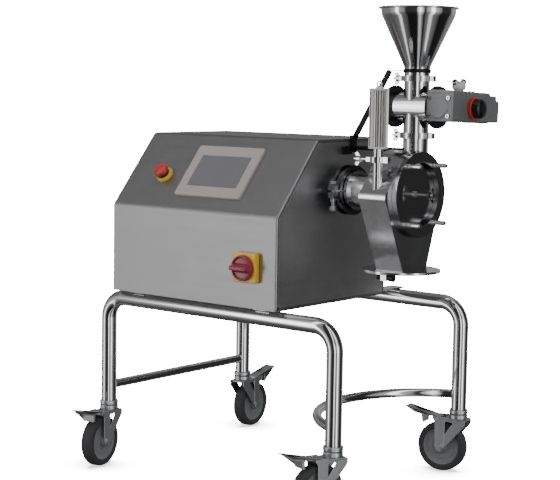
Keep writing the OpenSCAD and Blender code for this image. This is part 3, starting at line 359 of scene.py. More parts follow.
class Shape:
    """Closed skins collected into one mesh, each with its own finish."""

    def __init__(self):
        self.mesh = bmesh.new()
        self.finishes = []

    def skin(self, rings, finish, place=None, loop=False):
        """Joins rings of points, each a loop or a single pole, into a closed surface."""
        place = place or Matrix()
        if finish not in self.finishes:
            self.finishes.append(finish)
        rows = [[self.mesh.verts.new(place @ Vector(p)) for p in ring] for ring in rings]
        faces = []
        pairs = list(zip(rows, rows[1:])) + ([(rows[-1], rows[0])] if loop else [])
        for low, high in pairs:
            count = max(len(low), len(high))
            for i in range(count):
                j = (i + 1) % count
                if len(low) == 1:
                    corners = (low[0], high[j], high[i])
                elif len(high) == 1:
                    corners = (low[i], low[j], high[0])
                else:
                    corners = (low[i], low[j], high[j], high[i])
                faces.append(self.mesh.faces.new(corners))
        if not loop and len(rows[0]) > 1:
            faces.append(self.mesh.faces.new(rows[0][::-1]))
        if not loop and len(rows[-1]) > 1:
            faces.append(self.mesh.faces.new(rows[-1]))
        for face in faces:
            face.material_index = self.finishes.index(finish)
        return self

    def plate(self, outline, low, high, finish, place=None, edge=0.8, steps=3):
        """An outline given thickness, with rounded edges."""
        rings = []
        for k in range(steps + 1):
            t = math.pi / 2 * k / steps
            rings.append((low + edge * (1 - math.cos(t)), edge * (1 - math.sin(t))))
        rings += [(high + low - z, depth) for z, depth in rings[::-1]]
        return self.skin([[(x, y, z) for x, y in inset(outline, depth)] for z, depth in rings], finish, place)

    def lathe(self, profile, finish, place=None, steps=64, loop=False):
        """A profile of (radius, height) turned about Z. A radius of nought is a pole."""
        rings = []
        for radius, height in profile:
            if radius < 1e-6:
                rings.append([(0, 0, height)])
            else:
                rings.append([(x, y, height) for x, y in disc(radius, steps)])
        return self.skin(rings, finish, place, loop)

    def pin(self, radius, low, high, finish, place=None, steps=64, edge=0):
        """A solid round bar along Z."""
        profile = [(0, low), (radius, low), (radius, high), (0, high)]
        if edge:
            profile = soften(profile, [0, edge, edge, 0], closed=False)
        return self.lathe(profile, finish, place, steps)

    def sweep(self, path, radius, finish, place=None, steps=32, loop=False):
        """A round bar along a path of points."""
        points = [Vector(p) for p in path]
        rings = []
        side = None
        for i, point in enumerate(points):
            if loop:
                ahead = points[(i + 1) % len(points)] - points[i - 1]
            else:
                ahead = points[min(i + 1, len(points) - 1)] - points[max(i - 1, 0)]
            ahead.normalize()
            if side is None:
                side = ahead.orthogonal().normalized()
            side = (side - ahead * side.dot(ahead)).normalized()
            other = ahead.cross(side)
            rings.append([point + side * x + other * y for x, y in disc(radius, steps)])
        return self.skin(rings, finish, place, loop)

    def finish(self, node=None, name=None, angle=SHARP):
        """Makes the piece, with outward faces: in place of a CAD node, or an extra one with its own name."""
        name = name or "finished_" + node
        for vertex in self.mesh.verts:
            vertex.co *= MM
        bmesh.ops.recalc_face_normals(self.mesh, faces=self.mesh.faces)
        data = bpy.data.meshes.new(name)
        self.mesh.to_mesh(data)
        self.mesh.free()
        return settle(name, data, self.finishes, node, angle)


def through(data, kind, settings, inputs=None):
    """A mesh as a modifier leaves it. Inputs are those of its node tree, by socket identifier."""
    work = bpy.data.objects.new("work", data)
    bpy.context.scene.collection.objects.link(work)
    modifier = work.modifiers.new("work", kind)
    for key, value in settings.items():
        setattr(modifier, key, value)
    for key, value in (inputs or {}).items():
        modifier[key] = value
    made = bpy.data.meshes.new_from_object(work.evaluated_get(bpy.context.evaluated_depsgraph_get()))
    bpy.data.objects.remove(work)
    return made


def settle(name, data, finishes, node=None, angle=SHARP):
    """Puts a mesh into the scene as a piece, its flat faces shaded flat beside their rounded edges."""
    data.shade_smooth()
    data.set_sharp_from_angle(angle=math.radians(angle))
    if not data.materials:
        for finish in finishes:
            data.materials.append(FINISH[finish])
    data = through(data, "WEIGHTED_NORMAL", {"keep_sharp": True})
    data.name = name
    obj = bpy.data.objects.new(name, data)
    bpy.context.scene.collection.objects.link(obj)
    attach(obj, BODY_OF[node] if node else "machine")
    if node:
        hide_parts(node)
    return obj


def refined(node, finish, edge=0.5, angle=30):
    """A CAD node's own shape with whole faces and broken edges."""
    shell = bmesh.new()
    shell.from_mesh(frame["nodes"][node].data)
    bmesh.ops.remove_doubles(shell, verts=shell.verts, dist=1e-5)
    bmesh.ops.dissolve_limit(shell, angle_limit=math.radians(0.6), verts=shell.verts, edges=shell.edges)
    data = bpy.data.meshes.new(node)
    shell.to_mesh(data)
    shell.free()
    done = through(data, "BEVEL", {"width": edge * MM, "segments": 2, "limit_method": "ANGLE",
                                   "angle_limit": math.radians(angle)})
    return settle("finished_" + node, done, [finish], node, angle)


def grow(name, sizes, build, finish):
    """Grows a mesh from a Geometry Nodes tree. Sizes are its named inputs, in metres or counts."""
    tree = bpy.data.node_groups.new(name, "GeometryNodeTree")
    for key, value in sizes.items():
        kind = "NodeSocketInt" if isinstance(value, int) else "NodeSocketFloat"
        tree.interface.new_socket(name=key, in_out="INPUT", socket_type=kind)
    tree.interface.new_socket(name="Geometry", in_out="OUTPUT", socket_type="NodeSocketGeometry")
    source = add(tree, "NodeGroupInput")
    made = build(tree, source)
    real = add(tree, "GeometryNodeRealizeInstances", {}, {"Geometry": made})
    painted = add(tree, "GeometryNodeSetMaterial", {"Material": FINISH[finish]}, {"Geometry": (real, 0)})
    add(tree, "NodeGroupOutput", {}, {"Geometry": (painted, 0)})
    inputs = {item.identifier: sizes[item.name]
              for item in tree.interface.items_tree if item.in_out == "INPUT"}
    return through(bpy.data.meshes.new(name), "NODES", {"node_group": tree}, inputs)


def moved(data, place):
    """A grown mesh put at a place given in millimetres."""
    place = place.copy()
    place.translation *= MM
    data.transform(place)
    return data


def ring_of_bars(tree, source):
    """Upright bars round a circle, each turned to face outwards: pleats or knurls."""
    points = add(tree, "GeometryNodeMeshCircle", {},
                 {"Vertices": (source, "Count"), "Radius": (source, "Radius")})
    bar = add(tree, "GeometryNodeMeshCylinder", {"Vertices": 8, "Side Segments": 1},
              {"Radius": (source, "Bar radius"), "Depth": (source, "Height")})
    deep = add(tree, "ShaderNodeCombineXYZ", {"Y": 1.0, "Z": 1.0}, {"X": (source, "Depth share")})
    shaped = add(tree, "GeometryNodeTransform", {}, {"Geometry": (bar, "Mesh"), "Scale": (deep, 0)})
    where = add(tree, "GeometryNodeInputPosition")
    turn = add(tree, "FunctionNodeAlignRotationToVector", {"axis": "X"}, {"Vector": (where, 0)})
    placed = add(tree, "GeometryNodeInstanceOnPoints", {},
                 {"Points": (points, "Mesh"), "Instance": (shaped, "Geometry"), "Rotation": (turn, 0)})
    return placed, "Instances"


def grid_of_studs(tree, source):
    """Round studs at the corners of a rectangle: screw heads or their sockets."""
    grid = add(tree, "GeometryNodeMeshGrid", {"Vertices X": 2, "Vertices Y": 2},
               {"Size X": (source, "Width"), "Size Y": (source, "Height")})
    stud = add(tree, "GeometryNodeMeshCylinder", {"Side Segments": 1, "Fill Segments": 1},
               {"Vertices": (source, "Sides"), "Radius": (source, "Stud radius"),
                "Depth": (source, "Length")})
    placed = add(tree, "GeometryNodeInstanceOnPoints", {},
                 {"Points": (grid, "Mesh"), "Instance": (stud, "Mesh")})
    return placed, "Instances"


# ---------- stand ----------


def arc(centre, radius, start, end, steps=16):
    """Points on an arc in a plane, angles in degrees."""
    return [(centre[0] + radius * math.cos(math.radians(start + (end - start) * i / steps)),
             centre[1] + radius * math.sin(math.radians(start + (end - start) * i / steps)))
            for i in range(steps + 1)]


class MILL_OT_frame_tubes(bpy.types.Operator):
    """Bends the two U-shaped leg tubes and fits the cross tubes and bars"""

    bl_idname = "mill.frame_tubes"
    bl_label = "Frame tubes"

    def execute(self, context):
        stand = context.scene.mill_stand
        bend = stand.bend / MM
        for node in ("front_frame_tube", "rear_frame_tube"):
            low, high = box_mm(node)
            r = (high.y - low.y) / 2
            y = (low.y + high.y) / 2
            x0, x1, top = low.x + r, high.x - r, high.z - r
            line = [(x0, low.z)] + arc((x0 + bend, top - bend), bend, 180, 90)
            line += arc((x1 - bend, top - bend), bend, 90, 0) + [(x1, low.z)]
            shape = Shape()
            shape.sweep([(x, y, z) for x, z in line], r, "polished_tube", steps=48)
            shape.finish(node)
        self.cross_tubes(stand.weld / MM)
        low, high = box_mm("support_bars")
        shape = Shape()
        width = 40
        for x in (low.x + width / 2, high.x - width / 2):
            place = at(x, (low.y + high.y) / 2, low.z)
            shape.plate(rectangle(width, high.y - low.y, 3), 0, high.z - low.z, "satin_steel", place)
        shape.finish("support_bars")
        return {"FINISHED"}

    def cross_tubes(self, bead):
        """The straight left tube and the bowed right one, with a weld where each meets a leg."""
        leg_r = 19.0
        for node, corners in (("left_cross_tube", ("fl", "bl")), ("right_bow_tube", ("fr", "br"))):
            low, high = box_mm(node)
            front, back = [joint_mm(f"caster_{c}_swivel") for c in corners]
            r = (high.z - low.z) / 2
            z = (low.z + high.z) / 2
            if node.startswith("left"):
                line = [(front.x, front.y + 10, z), (back.x, back.y - 10, z)]
                lean = 0.0
            else:
                depth = front.x - (low.x + r)
                half = back.y
                radius = (half * half + depth * depth) / (2 * depth)
                centre = front.x - depth + radius
                spread = math.degrees(math.asin(half / radius))
                line = [(x, y, z)
                        for x, y in arc((centre, 0), radius, 180 - spread + 2, 180 + spread - 2, 48)][::-1]
                lean = math.radians(90 - spread)
            shape = Shape()
            shape.sweep(line, r, "polished_tube", steps=36)
            for leg, way in ((front, 1), (back, -1)):
                turn = at(leg.x, leg.y, z) @ Matrix.Rotation(
                    (math.pi / 2 - lean) * way if lean else 0, 4, "Z")
                loop = []
                for x, up in disc(r, 32):
                    reach = math.sqrt(leg_r ** 2 - x * x) * way
                    loop.append(turn @ Vector((x, reach, up)))
                shape.sweep(loop, bead, "cast_hardware", steps=8, loop=True)
            shape.finish(node)


class MILL_OT_casters(bpy.types.Operator):
    """Makes the four braked swivel casters"""

    bl_idname = "mill.casters"
    bl_label = "Casters"

    def execute(self, context):
        tread = context.scene.mill_stand.tread / MM
        stems = Shape()
        for corner in CORNERS:
            leg = joint_mm(f"caster_{corner}_swivel")
            axle = joint_mm(f"caster_{corner}_roll")
            trail = Vector((axle.x - leg.x, axle.y - leg.y, 0))
            place = pointing((leg.x, leg.y, 0), (0, 0, 1), trail)
            self.wheel(corner, place, trail.length, axle.z, tread)
            self.fork(corner, place, trail.length, axle.z)
            self.pedal(corner, place)
            stems.lathe(soften([(0, 126.6), (10, 126.6), (10, 130.4), (6, 130.4), (6, 148.3), (23, 148.3),
                                (23, 159.6), (16.8, 159.6), (16.8, 190), (0, 190)],
                               [0, 1, 1, 0, 0, 3, 3, 0, 2, 0], closed=False), "zinc_plate", place)
        stems.finish("caster_stems")
        return {"FINISHED"}

    def wheel(self, corner, place, trail, height, tread):
        """Rubber tyre bonded to a moulded centre with a ringed face."""
        shape = Shape()
        r = height
        half = 16
        turned = place @ at(trail, 0, height) @ ON_SIDE
        tyre = [(r - 16, -half + 2), (r - 14, -half), (r - 8.4, -half), (r - 8, -half + 0.7),
                (r - 7.6, -half), (r - 3.5, -half + 0.6), (r, -tread / 2), (r, tread / 2),
                (r - 3.5, half - 0.6), (r - 7.6, half), (r - 8, half - 0.7), (r - 8.4, half), (r - 14, half),
                (r - 16, half - 2)]
        shape.lathe(soften(tyre, 1.6, steps=3), "tyre_rubber", turned, 72, loop=True)
        face = [(5.05, 18.9), (13.5, 18.9), (15, 17), (15, 10.5), (21, 9.2), (21.8, 8.2), (22.6, 9.2),
                (34, 8.6), (34.8, 7.6), (35.6, 8.6), (40, 8.8), (43.5, 12.4), (r - 15.6, 12.8)]
        shape.lathe(soften(face + [(x, -y) for x, y in face[::-1]], 0.8, steps=2), "hub_plastic", turned, 72,
                    loop=True)
        shape.finish(f"caster_{corner}_wheel")

    def fork(self, corner, place, trail, height):
        """Pressed fork with its crown, race ring and axle bolt."""
        shape = Shape()
        arm, sheet = 23, 3
        upright = soften([(trail - 12, height), (trail - 7, height - 12), (trail + 7, height - 12),
                          (trail + 12, height), (trail + 14, 126), (trail + 20, 133), (trail + 20, 139),
                          (trail - 14, 139)], [9, 9, 9, 9, 12, 8, 6, 3], steps=5)
        slanted = soften([(trail - 7, height - 8), (trail + 8, height + 4), (4, 128), (trail - 10, 128),
                          (trail - 10, 136), (-26, 136), (-26, 122)], [6, 6, 8, 2, 1, 4, 5], steps=5)
        for y in (-arm, arm - sheet):
            stand = place @ at(0, y + sheet, 0) @ ON_SIDE
            shape.plate(upright, 0, sheet, "zinc_plate", stand, 0.9)
            shape.plate(slanted, 0.4, 2.6, "zinc_plate", stand, 0.8)
        crown = place @ at(5, 0, 131)
        shape.plate(rectangle(62, 46, 12), 0, 4.2, "zinc_plate", crown, 2)
        ring = soften([(0, 134), (20, 134), (23, 137), (23, 147.8), (0, 147.8)], [0, 0, 3, 3, 0],
                      closed=False)
        shape.lathe(ring, "zinc_plate", place)
        axle = place @ at(trail, 0, height) @ ON_SIDE
        shape.pin(5, -27.2, 27.2, "zinc_plate", axle, 24, 1)
        for low, high in ((22.6, 24), (-24, -22.6)):
            shape.plate(disc(11, 32), low, high, "zinc_plate", axle, 0.4)
        for low, high in ((23.8, 28), (-28, -23.8)):
            shape.plate(disc(9.2, 6), low, high, "zinc_plate", axle, 0.7)
        pin = place @ at(trail + 10, 0, 133) @ ON_SIDE
        shape.pin(3, -23.4, 23.4, "zinc_plate", pin, 20, 1)
        shape.finish(f"caster_{corner}_fork")

    def pedal(self, corner, place):
        """Pressed brake pedal with its tip bent up."""
        shape = Shape()
        pin = JOINT[f"caster_{corner}_brake"]["pos_m"][2] / MM
        top = pin + 5
        side = [(50, top - 2.4), (84, top + 0.6), (84, 119), (90, 119), (92, top + 0.8), (110, top + 2.8),
                (135, top + 16), (135, top + 19), (109, top + 6), (50, top + 1)]
        turned = place @ at(0, 17, 0) @ ON_SIDE
        shape.plate(soften(side, [1, 3, 1, 2, 4, 12, 1.2, 1.2, 14, 1], steps=4), 0, 34, "zinc_plate", turned,
                    1.0)
        barrel = place @ at(50, 0, pin) @ ON_SIDE
        shape.lathe([(3.05, -17), (5.4, -17), (6, -16.4), (6, 16.4), (5.4, 17), (3.05, 17)], "zinc_plate",
                    barrel, 28, loop=True)
        for y in (-10, 0, 10):
            rib = place @ at(0, y + 1.2, 0) @ ON_SIDE
            line = [(68, top + 1.2), (108, top + 5.6), (107, top + 6.6), (69, top + 2.6)]
            shape.plate(line, 0, 2.4, "zinc_plate", rib, 0.4, 2)
        shape.finish(f"caster_{corner}_pedal")


# ---------- cabinet and controls ----------

SLOPE_RUN = 143.0
SLOPE_RISE = 172.0
SLOPE_OUT = -Vector(JOINT["estop_press"]["axis"])


def on_slope(x, share):
    """A place on the sloped panel, X along it and Z out of it."""
    low, high = box_mm("cabinet_wrap")
    origin = (x, low.y + SLOPE_RUN * share, high.z - SLOPE_RISE * (1 - share))
    return pointing(origin, SLOPE_OUT, (1, 0, 0))


class MILL_OT_cabinet(bpy.types.Operator):
    """Folds the cabinet's sheet and fits the side, floor and rear panels"""

    bl_idname = "mill.cabinet"
    bl_label = "Cabinet"

    def execute(self, context):
        fold = context.scene.mill_cabinet.fold / MM
        low, high = box_mm("cabinet_wrap")
        bottom = low.z
        reveal = 0.4
        back = high.y - 2.6
        slope_z = high.z - SLOPE_RISE
        outline = [(low.y, bottom), (back, bottom), (back, high.z), (low.y + SLOPE_RUN, high.z),
                   (low.y, slope_z)]
        upright = Matrix(((0, 0, 1, 0), (1, 0, 0, 0), (0, 1, 0, 0), (0, 0, 0, 1)))
        shape = Shape()
        shape.plate(soften(outline, [0.6, 0.6, 2, 6, 6], steps=5), low.x + reveal, high.x - reveal,
                    "brushed_sheet", upright, fold, 5)
        shape.finish("cabinet_wrap")
        side = Shape()
        inner = inset(outline, 8)
        for x0, x1 in ((low.x, low.x + 1.2), (high.x - 1.2, high.x)):
            # The side panels take the lighter copy of the sheet finish: painted light.
            side.plate(soften(inner, 3, steps=3), x0, x1, "brushed_side_painted_light", upright, 0.3, 2)
        side.finish("cabinet_sides")
        # A near-black sheet just behind the rear panel's vents: painted shade in place of the dark inside of the
        # cabinet.
        shade = Shape()
        middle = pointing(((low.x + high.x) / 2, back + 0.1, (bottom + high.z) / 2), (0, 1, 0), (1, 0, 0))
        shade.plate(rectangle(high.x - low.x - 30, high.z - bottom - 40), 0, 0.3, "painted_shade_inside", middle, 0.1,
                    1)
        shade.finish(name="vent_shade")
        under = Shape()
        beneath = at((low.x + high.x) / 2, (low.y + high.y) / 2, bottom)
        under.plate(rectangle(high.x - low.x - 6, high.y - low.y - 8, 2), -0.5, -0.1, "primer", beneath, 0.1,
                    1)
        under.finish(name="cabinet_underside")
        refined("cabinet_back", "brushed_sheet", 0.3)
        refined("cabinet_base", "brushed_sheet", 0.5)
        refined("mains_gland", "black_plastic", 0.4)
        return {"FINISHED"}


class MILL_OT_controls(bpy.types.Operator):
    """Makes the touch panel, the emergency stop and the isolator"""

    bl_idname = "mill.controls"
    bl_label = "Controls"

    def execute(self, context):
        edge = context.scene.mill_cabinet.frame_edge / MM
        self.touch_panel(edge)
        self.stop_button()
        self.isolator()
        return {"FINISHED"}

    def touch_panel(self, edge):
        """Moulded frame round a recessed screen."""
        low, high = box_mm("touch_screen")
        width = high.x - low.x
        place = on_slope((low.x + high.x) / 2, 0.5)
        outer = rectangle(204, 148, 7, 6)
        inner = rectangle(width + 1, 89, 1.5, 6)
        rings = [(outer, 0.05)]
        for k in range(5):
            t = math.pi / 2 * k / 4
            rings.append((inset(outer, edge * (1 - math.cos(t))), 7 - edge + edge * math.sin(t)))
        rings += [(inset(inner, -2.2), 7), (inset(inner, -0.6), 6.6), (inner, 5.6), (inner, 4.8)]
        shape = Shape()
        shape.skin([[(x, y, z) for x, y in line] for line, z in rings], "frame_plastic", place)
        body = place @ at(0, 0, -35)
        shape.plate(rectangle(186, 130, 3), 0, 34, "black_plastic", body, 1)
        shape.finish("touch_panel")
        glass = Shape()
        glass.plate(rectangle(width, 87.6, 1.5), 5.0, 6.1, "screen", place, 0.3, 2)
        glass.finish("touch_screen")

    def stop_button(self):
        """Yellow collar, dark gaiter and red mushroom."""
        low, high = box_mm("estop_collar")
        place = on_slope((low.x + high.x) / 2, 0.42)
        collar = Shape()
        collar.lathe(soften([(6.1, -28), (15, -28), (15, -3), (11, -3), (11, 0.05), (21, 0.05), (21, 3),
                             (19, 9), (14.6, 9), (13.6, 8), (6.1, 8)],
                             [0, 1, 0, 0, 0, 0.8, 1, 2, 0.6, 0.6, 0], steps=4),
                     "yellow_plastic", place, 64, loop=True)
        collar.finish("estop_collar")
        button = Shape()
        button.lathe(soften([(0, -9), (6, -9), (6, 8.6), (13, 8.6), (16.5, 11), (16.5, 17), (0, 17)],
                            [0, 1, 0, 0.5, 1, 0.5, 0], closed=False), "black_plastic", place)
        head = [(0, 16.6), (17.6, 16.6), (18.4, 18), (18.4, 22), (16.5, 26), (9, 28.6), (0, 29)]
        button.lathe(soften(head, [0, 0.6, 1, 3, 5, 6, 0], closed=False, steps=6), "red_plastic", place)
        button.finish("estop_button")

    def isolator(self):
        """Square yellow plate with a round handle that has a ridge across it."""
        low, high = box_mm("isolator_plate")
        pivot = joint_mm("isolator_turn")
        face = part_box("cabinet_wrap")[0].y / MM
        place = pointing((pivot.x, face, pivot.z), (0, -1, 0), (1, 0, 0))
        side = high.x - low.x
        plate = Shape()
        plate.plate(rectangle(side, side, 7, 6), 0.05, 15, "yellow_plastic", place, 2.5, 4)
        plate.finish("isolator_plate")
        knob = Shape()
        radius = 30
        knob.lathe(soften([(0, 12), (5, 12), (5, 15.4), (radius - 0.5, 15.4), (radius, 17),
                           (radius - 1.2, 26.4), (radius - 4.6, 27), (radius - 6.4, 22.4), (0, 21.6)],
                          [0, 0, 0, 0.4, 1, 2, 1.6, 1, 0], closed=False, steps=4), "handle_plastic", place)
        grip = []
        for z, wide, tall, corner in ((21.4, 54, 22, 7), (25, 53.6, 18, 6), (33, 52, 13, 5), (38, 50, 9.6, 4),
                                      (39.6, 47.5, 7, 3), (40.2, 45, 5, 2)):
            grip.append([(x, y, z) for x, y in rectangle(wide, tall, corner, 5)])
        knob.skin(grip, "handle_plastic", place)
        mark = place @ at(18, 0, 39.8)
        knob.plate(rectangle(9, 2.2, 0.6), 0, 0.7, "black_plastic", mark, 0.2, 1)
        knob.finish("isolator_knob")


# ---------- mill ----------


class MILL_OT_drum(bpy.types.Operator):
    """Finishes the drum, its neck, door and outlet"""

    bl_idname = "mill.drum"
    bl_label = "Drum"

    def execute(self, context):
        inner = ("mill_screen", "rotor", "hammers", "drive_shaft", "shaft_coupling", "spindle_bearings")
        for node, finish, edge in (
                ("mill_chamber", "satin_steel", 1.2), ("front_cover", "turned_face", 1.4),
                ("inner_lid", "turned_face", 0.5), ("cover_nuts", "cast_hardware", 0.8),
                ("lid_wing_nut", "cast_hardware", 0.6), ("spindle_housing", "satin_steel", 0.8),
                ("neck_clamp", "dark_band", 1.0), ("neck_clamp_screw", "zinc_plate", 0.5),
                ("outlet_flange", "satin_steel", 1.0), ("outlet_pin", "black_oxide", 0.6),
                *[(node, "machined", 0.4) for node in inner],
                ("motor_bracket", "motor_enamel", 0.6), ("drive_motor", "motor_enamel", 1.5)):
            refined(node, finish, edge)
        return {"FINISHED"}


# ---------- feeder, hopper and filter ----------


class MILL_OT_feeder(bpy.types.Operator):
    """Finishes the feeder, its flanges and the gearmotor"""

    bl_idname = "mill.feeder"
    bl_label = "Feeder"

    def execute(self, context):
        self.body()
        refined("feeder_rotor", "machined", 0.3)
        refined("feeder_end_flanges", "black_oxide", 1.0)
        self.gearmotor(context.scene.mill_details.screw / MM)
        return {"FINISHED"}

    def body(self):
        """Lying metering tube with a pipe stub above and below, welded where they meet it."""
        low, high = box_mm("feeder_body")
        axis = joint_mm("feeder_spin")
        upright = sum(corner.x for corner in box_mm("hopper")) / 2
        tube_r, pipe_r, rim_r, wall = 33.0, 29.0, 32.0, 2.0
        shape = Shape()
        lying = pointing((low.x, axis.y, axis.z), (1, 0, 0))
        length = high.x - low.x
        tube = [(tube_r - wall, 0), (tube_r, 0), (tube_r, length), (tube_r - wall, length)]
        shape.lathe(tube, "spun_steel", lying, 72, loop=True)
        place = at(upright, axis.y, 0)
        for end, way in ((high.z, 1), (low.z, -1)):
            stub = [(pipe_r - wall, end), (rim_r, end), (rim_r, end - 3 * way), (pipe_r, end - 4.4 * way),
                    (pipe_r, axis.z + 12 * way), (pipe_r - wall, axis.z + 12 * way)]
            shape.lathe(soften(stub, 0.5, steps=2), "spun_steel", place, 64, loop=True)
            weld = [(upright + x, axis.y + y, axis.z + way * math.sqrt(tube_r ** 2 - y * y))
                    for x, y in disc(pipe_r, 64)]
            shape.sweep(weld, 1.1, "cast_hardware", steps=8, loop=True)
        shape.finish("feeder_body")

    def gearmotor(self, screw):
        """Cast gear housing, stepped motor end, round cap, power inlet and cable junction."""
        high = box_mm("feeder_rotor")[1]
        axis = joint_mm("feeder_spin")
        hung = Matrix.Translation(axis) @ Matrix.Rotation(math.radians(-2.2), 4, "X")
        x0 = high.x - 20
        width, tall, lift = 63, 70, 3
        mid = x0 + width / 2 - axis.x
        front = -52
        z1 = lift + tall / 2

        def along(y, shift=0.0):
            return hung @ pointing((mid, y, shift), (0, 1, 0), (1, 0, 0))

        shape = Shape()
        # The front part is the gear housing, the next the motor, then two steps of its end cover.
        shape.plate(rectangle(width, tall, 5), 0, 12, "cast_enamel", along(front, lift), 2)
        # The motor and the steps of its end cover take the darker enamel, a painted shade for their sides.
        shape.plate(rectangle(width - 1.0, tall - 1.0, 7), 11, 168, "cast_enamel_painted_shade", along(front, lift), 2)
        shape.plate(rectangle(width - 4, tall - 9, 6), 164, 197, "cast_enamel_painted_shade",
                    along(front, lift - 1.5), 2)
        shape.plate(rectangle(width - 8, tall - 20, 6), 193, 212, "cast_enamel_painted_shade", along(front, lift - 7),
                    2)
        for y in (62, 150):
            shape.plate(rectangle(width + 0.4, tall + 0.4, 6), y, y + 1.2, "cast_enamel_painted_shade",
                        along(front, lift), 0.4)
        face = hung @ pointing((mid, front + 0.5, 0), (0, -1, 0), (1, 0, 0))
        cap = [(0, 0), (25.5, 0), (25.5, 3), (22.5, 4.4), (21, 3.8), (0, 3.9)]
        shape.lathe(soften(cap, [0, 0, 1.2, 0.8, 0.8, 0], closed=False), "cast_enamel", face, 64)
        shape.plate(rectangle(width - 6, 5, 2), 0, 1.6, "cast_enamel",
                    face @ at(0, tall / 2 - 1.5, 0), 0.6)
        for y in (54, 70):
            top = hung @ at(mid + 12, y, z1 - 0.5)
            shape.lathe(soften([(0, 0), (3.4, 0), (3.4, 3), (0, 3.2)], [0, 0, 1, 0], closed=False),
                        "cast_hardware", top, 20)
        shape.finish("gearmotor")
        # Each screw head gets a thin dark disc on top: painted shade that stands for the shadow in its socket.
        for name, sizes, reach, finish in (
                ("screw heads", {"Sides": 28, "Stud radius": screw / 2 * MM, "Length": 6 * MM}, 2.0,
                 "cast_hardware"),
                ("screw sockets", {"Sides": 6, "Stud radius": screw / 4 * MM, "Length": 0.4 * MM}, 5.0,
                 "painted_shade_inside")):
            sizes = dict(sizes, Width=53 * MM, Height=40 * MM)
            studs = moved(grow(name, sizes, grid_of_studs, finish), face @ at(0, 0, reach))
            settle(name.replace(" ", "_"), studs, [finish])
        inlet = Shape()
        side = hung @ pointing((x0 + width - axis.x - 0.4, 43, 0), (1, 0, 0), (0, 1, 0))
        collar = disc(27, 8, math.radians(22.5))
        inlet.plate(soften(collar, 2.5, steps=3), 0, 8.4, "inlet_red", side, 1.2)
        dome = [(0, 8), (21, 8), (22, 9), (22, 20), (19.6, 24.5), (14, 27.4), (0, 28)]
        inlet.lathe(soften(dome, [0, 0, 1, 3, 4, 4, 0], closed=False, steps=5), "black_plastic", side, 48)
        for turn in range(0, 360, 30):
            rib = side @ Matrix.Rotation(math.radians(turn), 4, "Z") @ at(21.6, 0, 0)
            inlet.plate(rectangle(1.6, 4, 0.6), 9, 19, "black_plastic", rib, 0.5, 2)
        inlet.finish("power_inlet")
        junction = Shape()
        root = hung @ at(mid, 28, z1)
        base = [(0, -0.5), (11, -0.5), (11, 2), (14.5, 5), (16.5, 11), (14.5, 18), (8, 22.6), (0, 23)]
        junction.lathe(soften(base, [0, 0, 1, 3, 5, 5, 5, 0], closed=False, steps=5), "light_plastic", root,
                       48)
        for way in (-1, 1):
            stem = root @ pointing((way * 3, way * 6, 14), (0.3 + 0.2 * way, -0.55 + 0.45 * way, 0.75))
            socket = [(3.7, 2), (6.5, 0), (6.5, 5), (7.4, 6), (7.4, 11), (6.4, 13.4), (3.8, 13.4)]
            junction.lathe(soften(socket, 0.6, steps=2), "cast_hardware", stem, 32, loop=True)
            # A dark plug down each socket's bore: painted shade for the hollow.
            junction.pin(3.9, 3, 12.6, "painted_shade_inside", stem, 20)
        junction.finish("cable_outlets")


class MILL_OT_hopper(bpy.types.Operator):
    """Spins the hopper and finishes the clamps and the brace"""

    bl_idname = "mill.hopper"
    bl_label = "Hopper"

    def execute(self, context):
        low, high = box_mm("hopper")
        centre = (low + high) / 2
        place = at(centre.x, centre.y, 0)
        top = high.z
        rim = (high.x - low.x) / 2
        pipe, wall, neck, band = 29.0, 2.0, 24.0, 17.0
        cone = high.z - low.z - neck - band
        bowl = rim - 7
        z1, z2 = low.z + neck, low.z + neck + cone
        outside = [(32, low.z), (32, low.z + 3), (pipe, low.z + 4), (pipe, z1), (bowl, z2), (bowl, top - 5)]
        rolled = [(bowl + 2.2 + 4.8 * math.cos(a), top - 2.6 + 2.6 * math.sin(a))
                  for a in [math.radians(d) for d in range(-150, 91, 20)]]
        inside = [(bowl, top - 0.4), (bowl - wall, top - 2), (bowl - wall, z2), (pipe - wall, z1),
                  (pipe - wall, low.z)]
        shape = Shape()
        line = soften(outside, [0, 1, 1, 9, 7, 0], closed=False, steps=6)
        line += rolled + soften(inside, [0, 1, 7, 9, 0], closed=False, steps=6)
        shape.lathe(line, "spun_steel", place, 96, loop=True)
        shape.finish("hopper", angle=40)
        refined("pipe_clamps", "cast_hardware", 1.2)
        for node in ("upper_wing_nut", "lower_wing_nut", "filter_wing_nut"):
            refined(node, "cast_hardware", 0.8)
        refined("hopper_brace", "black_enamel", 0.8)
        return {"FINISHED"}


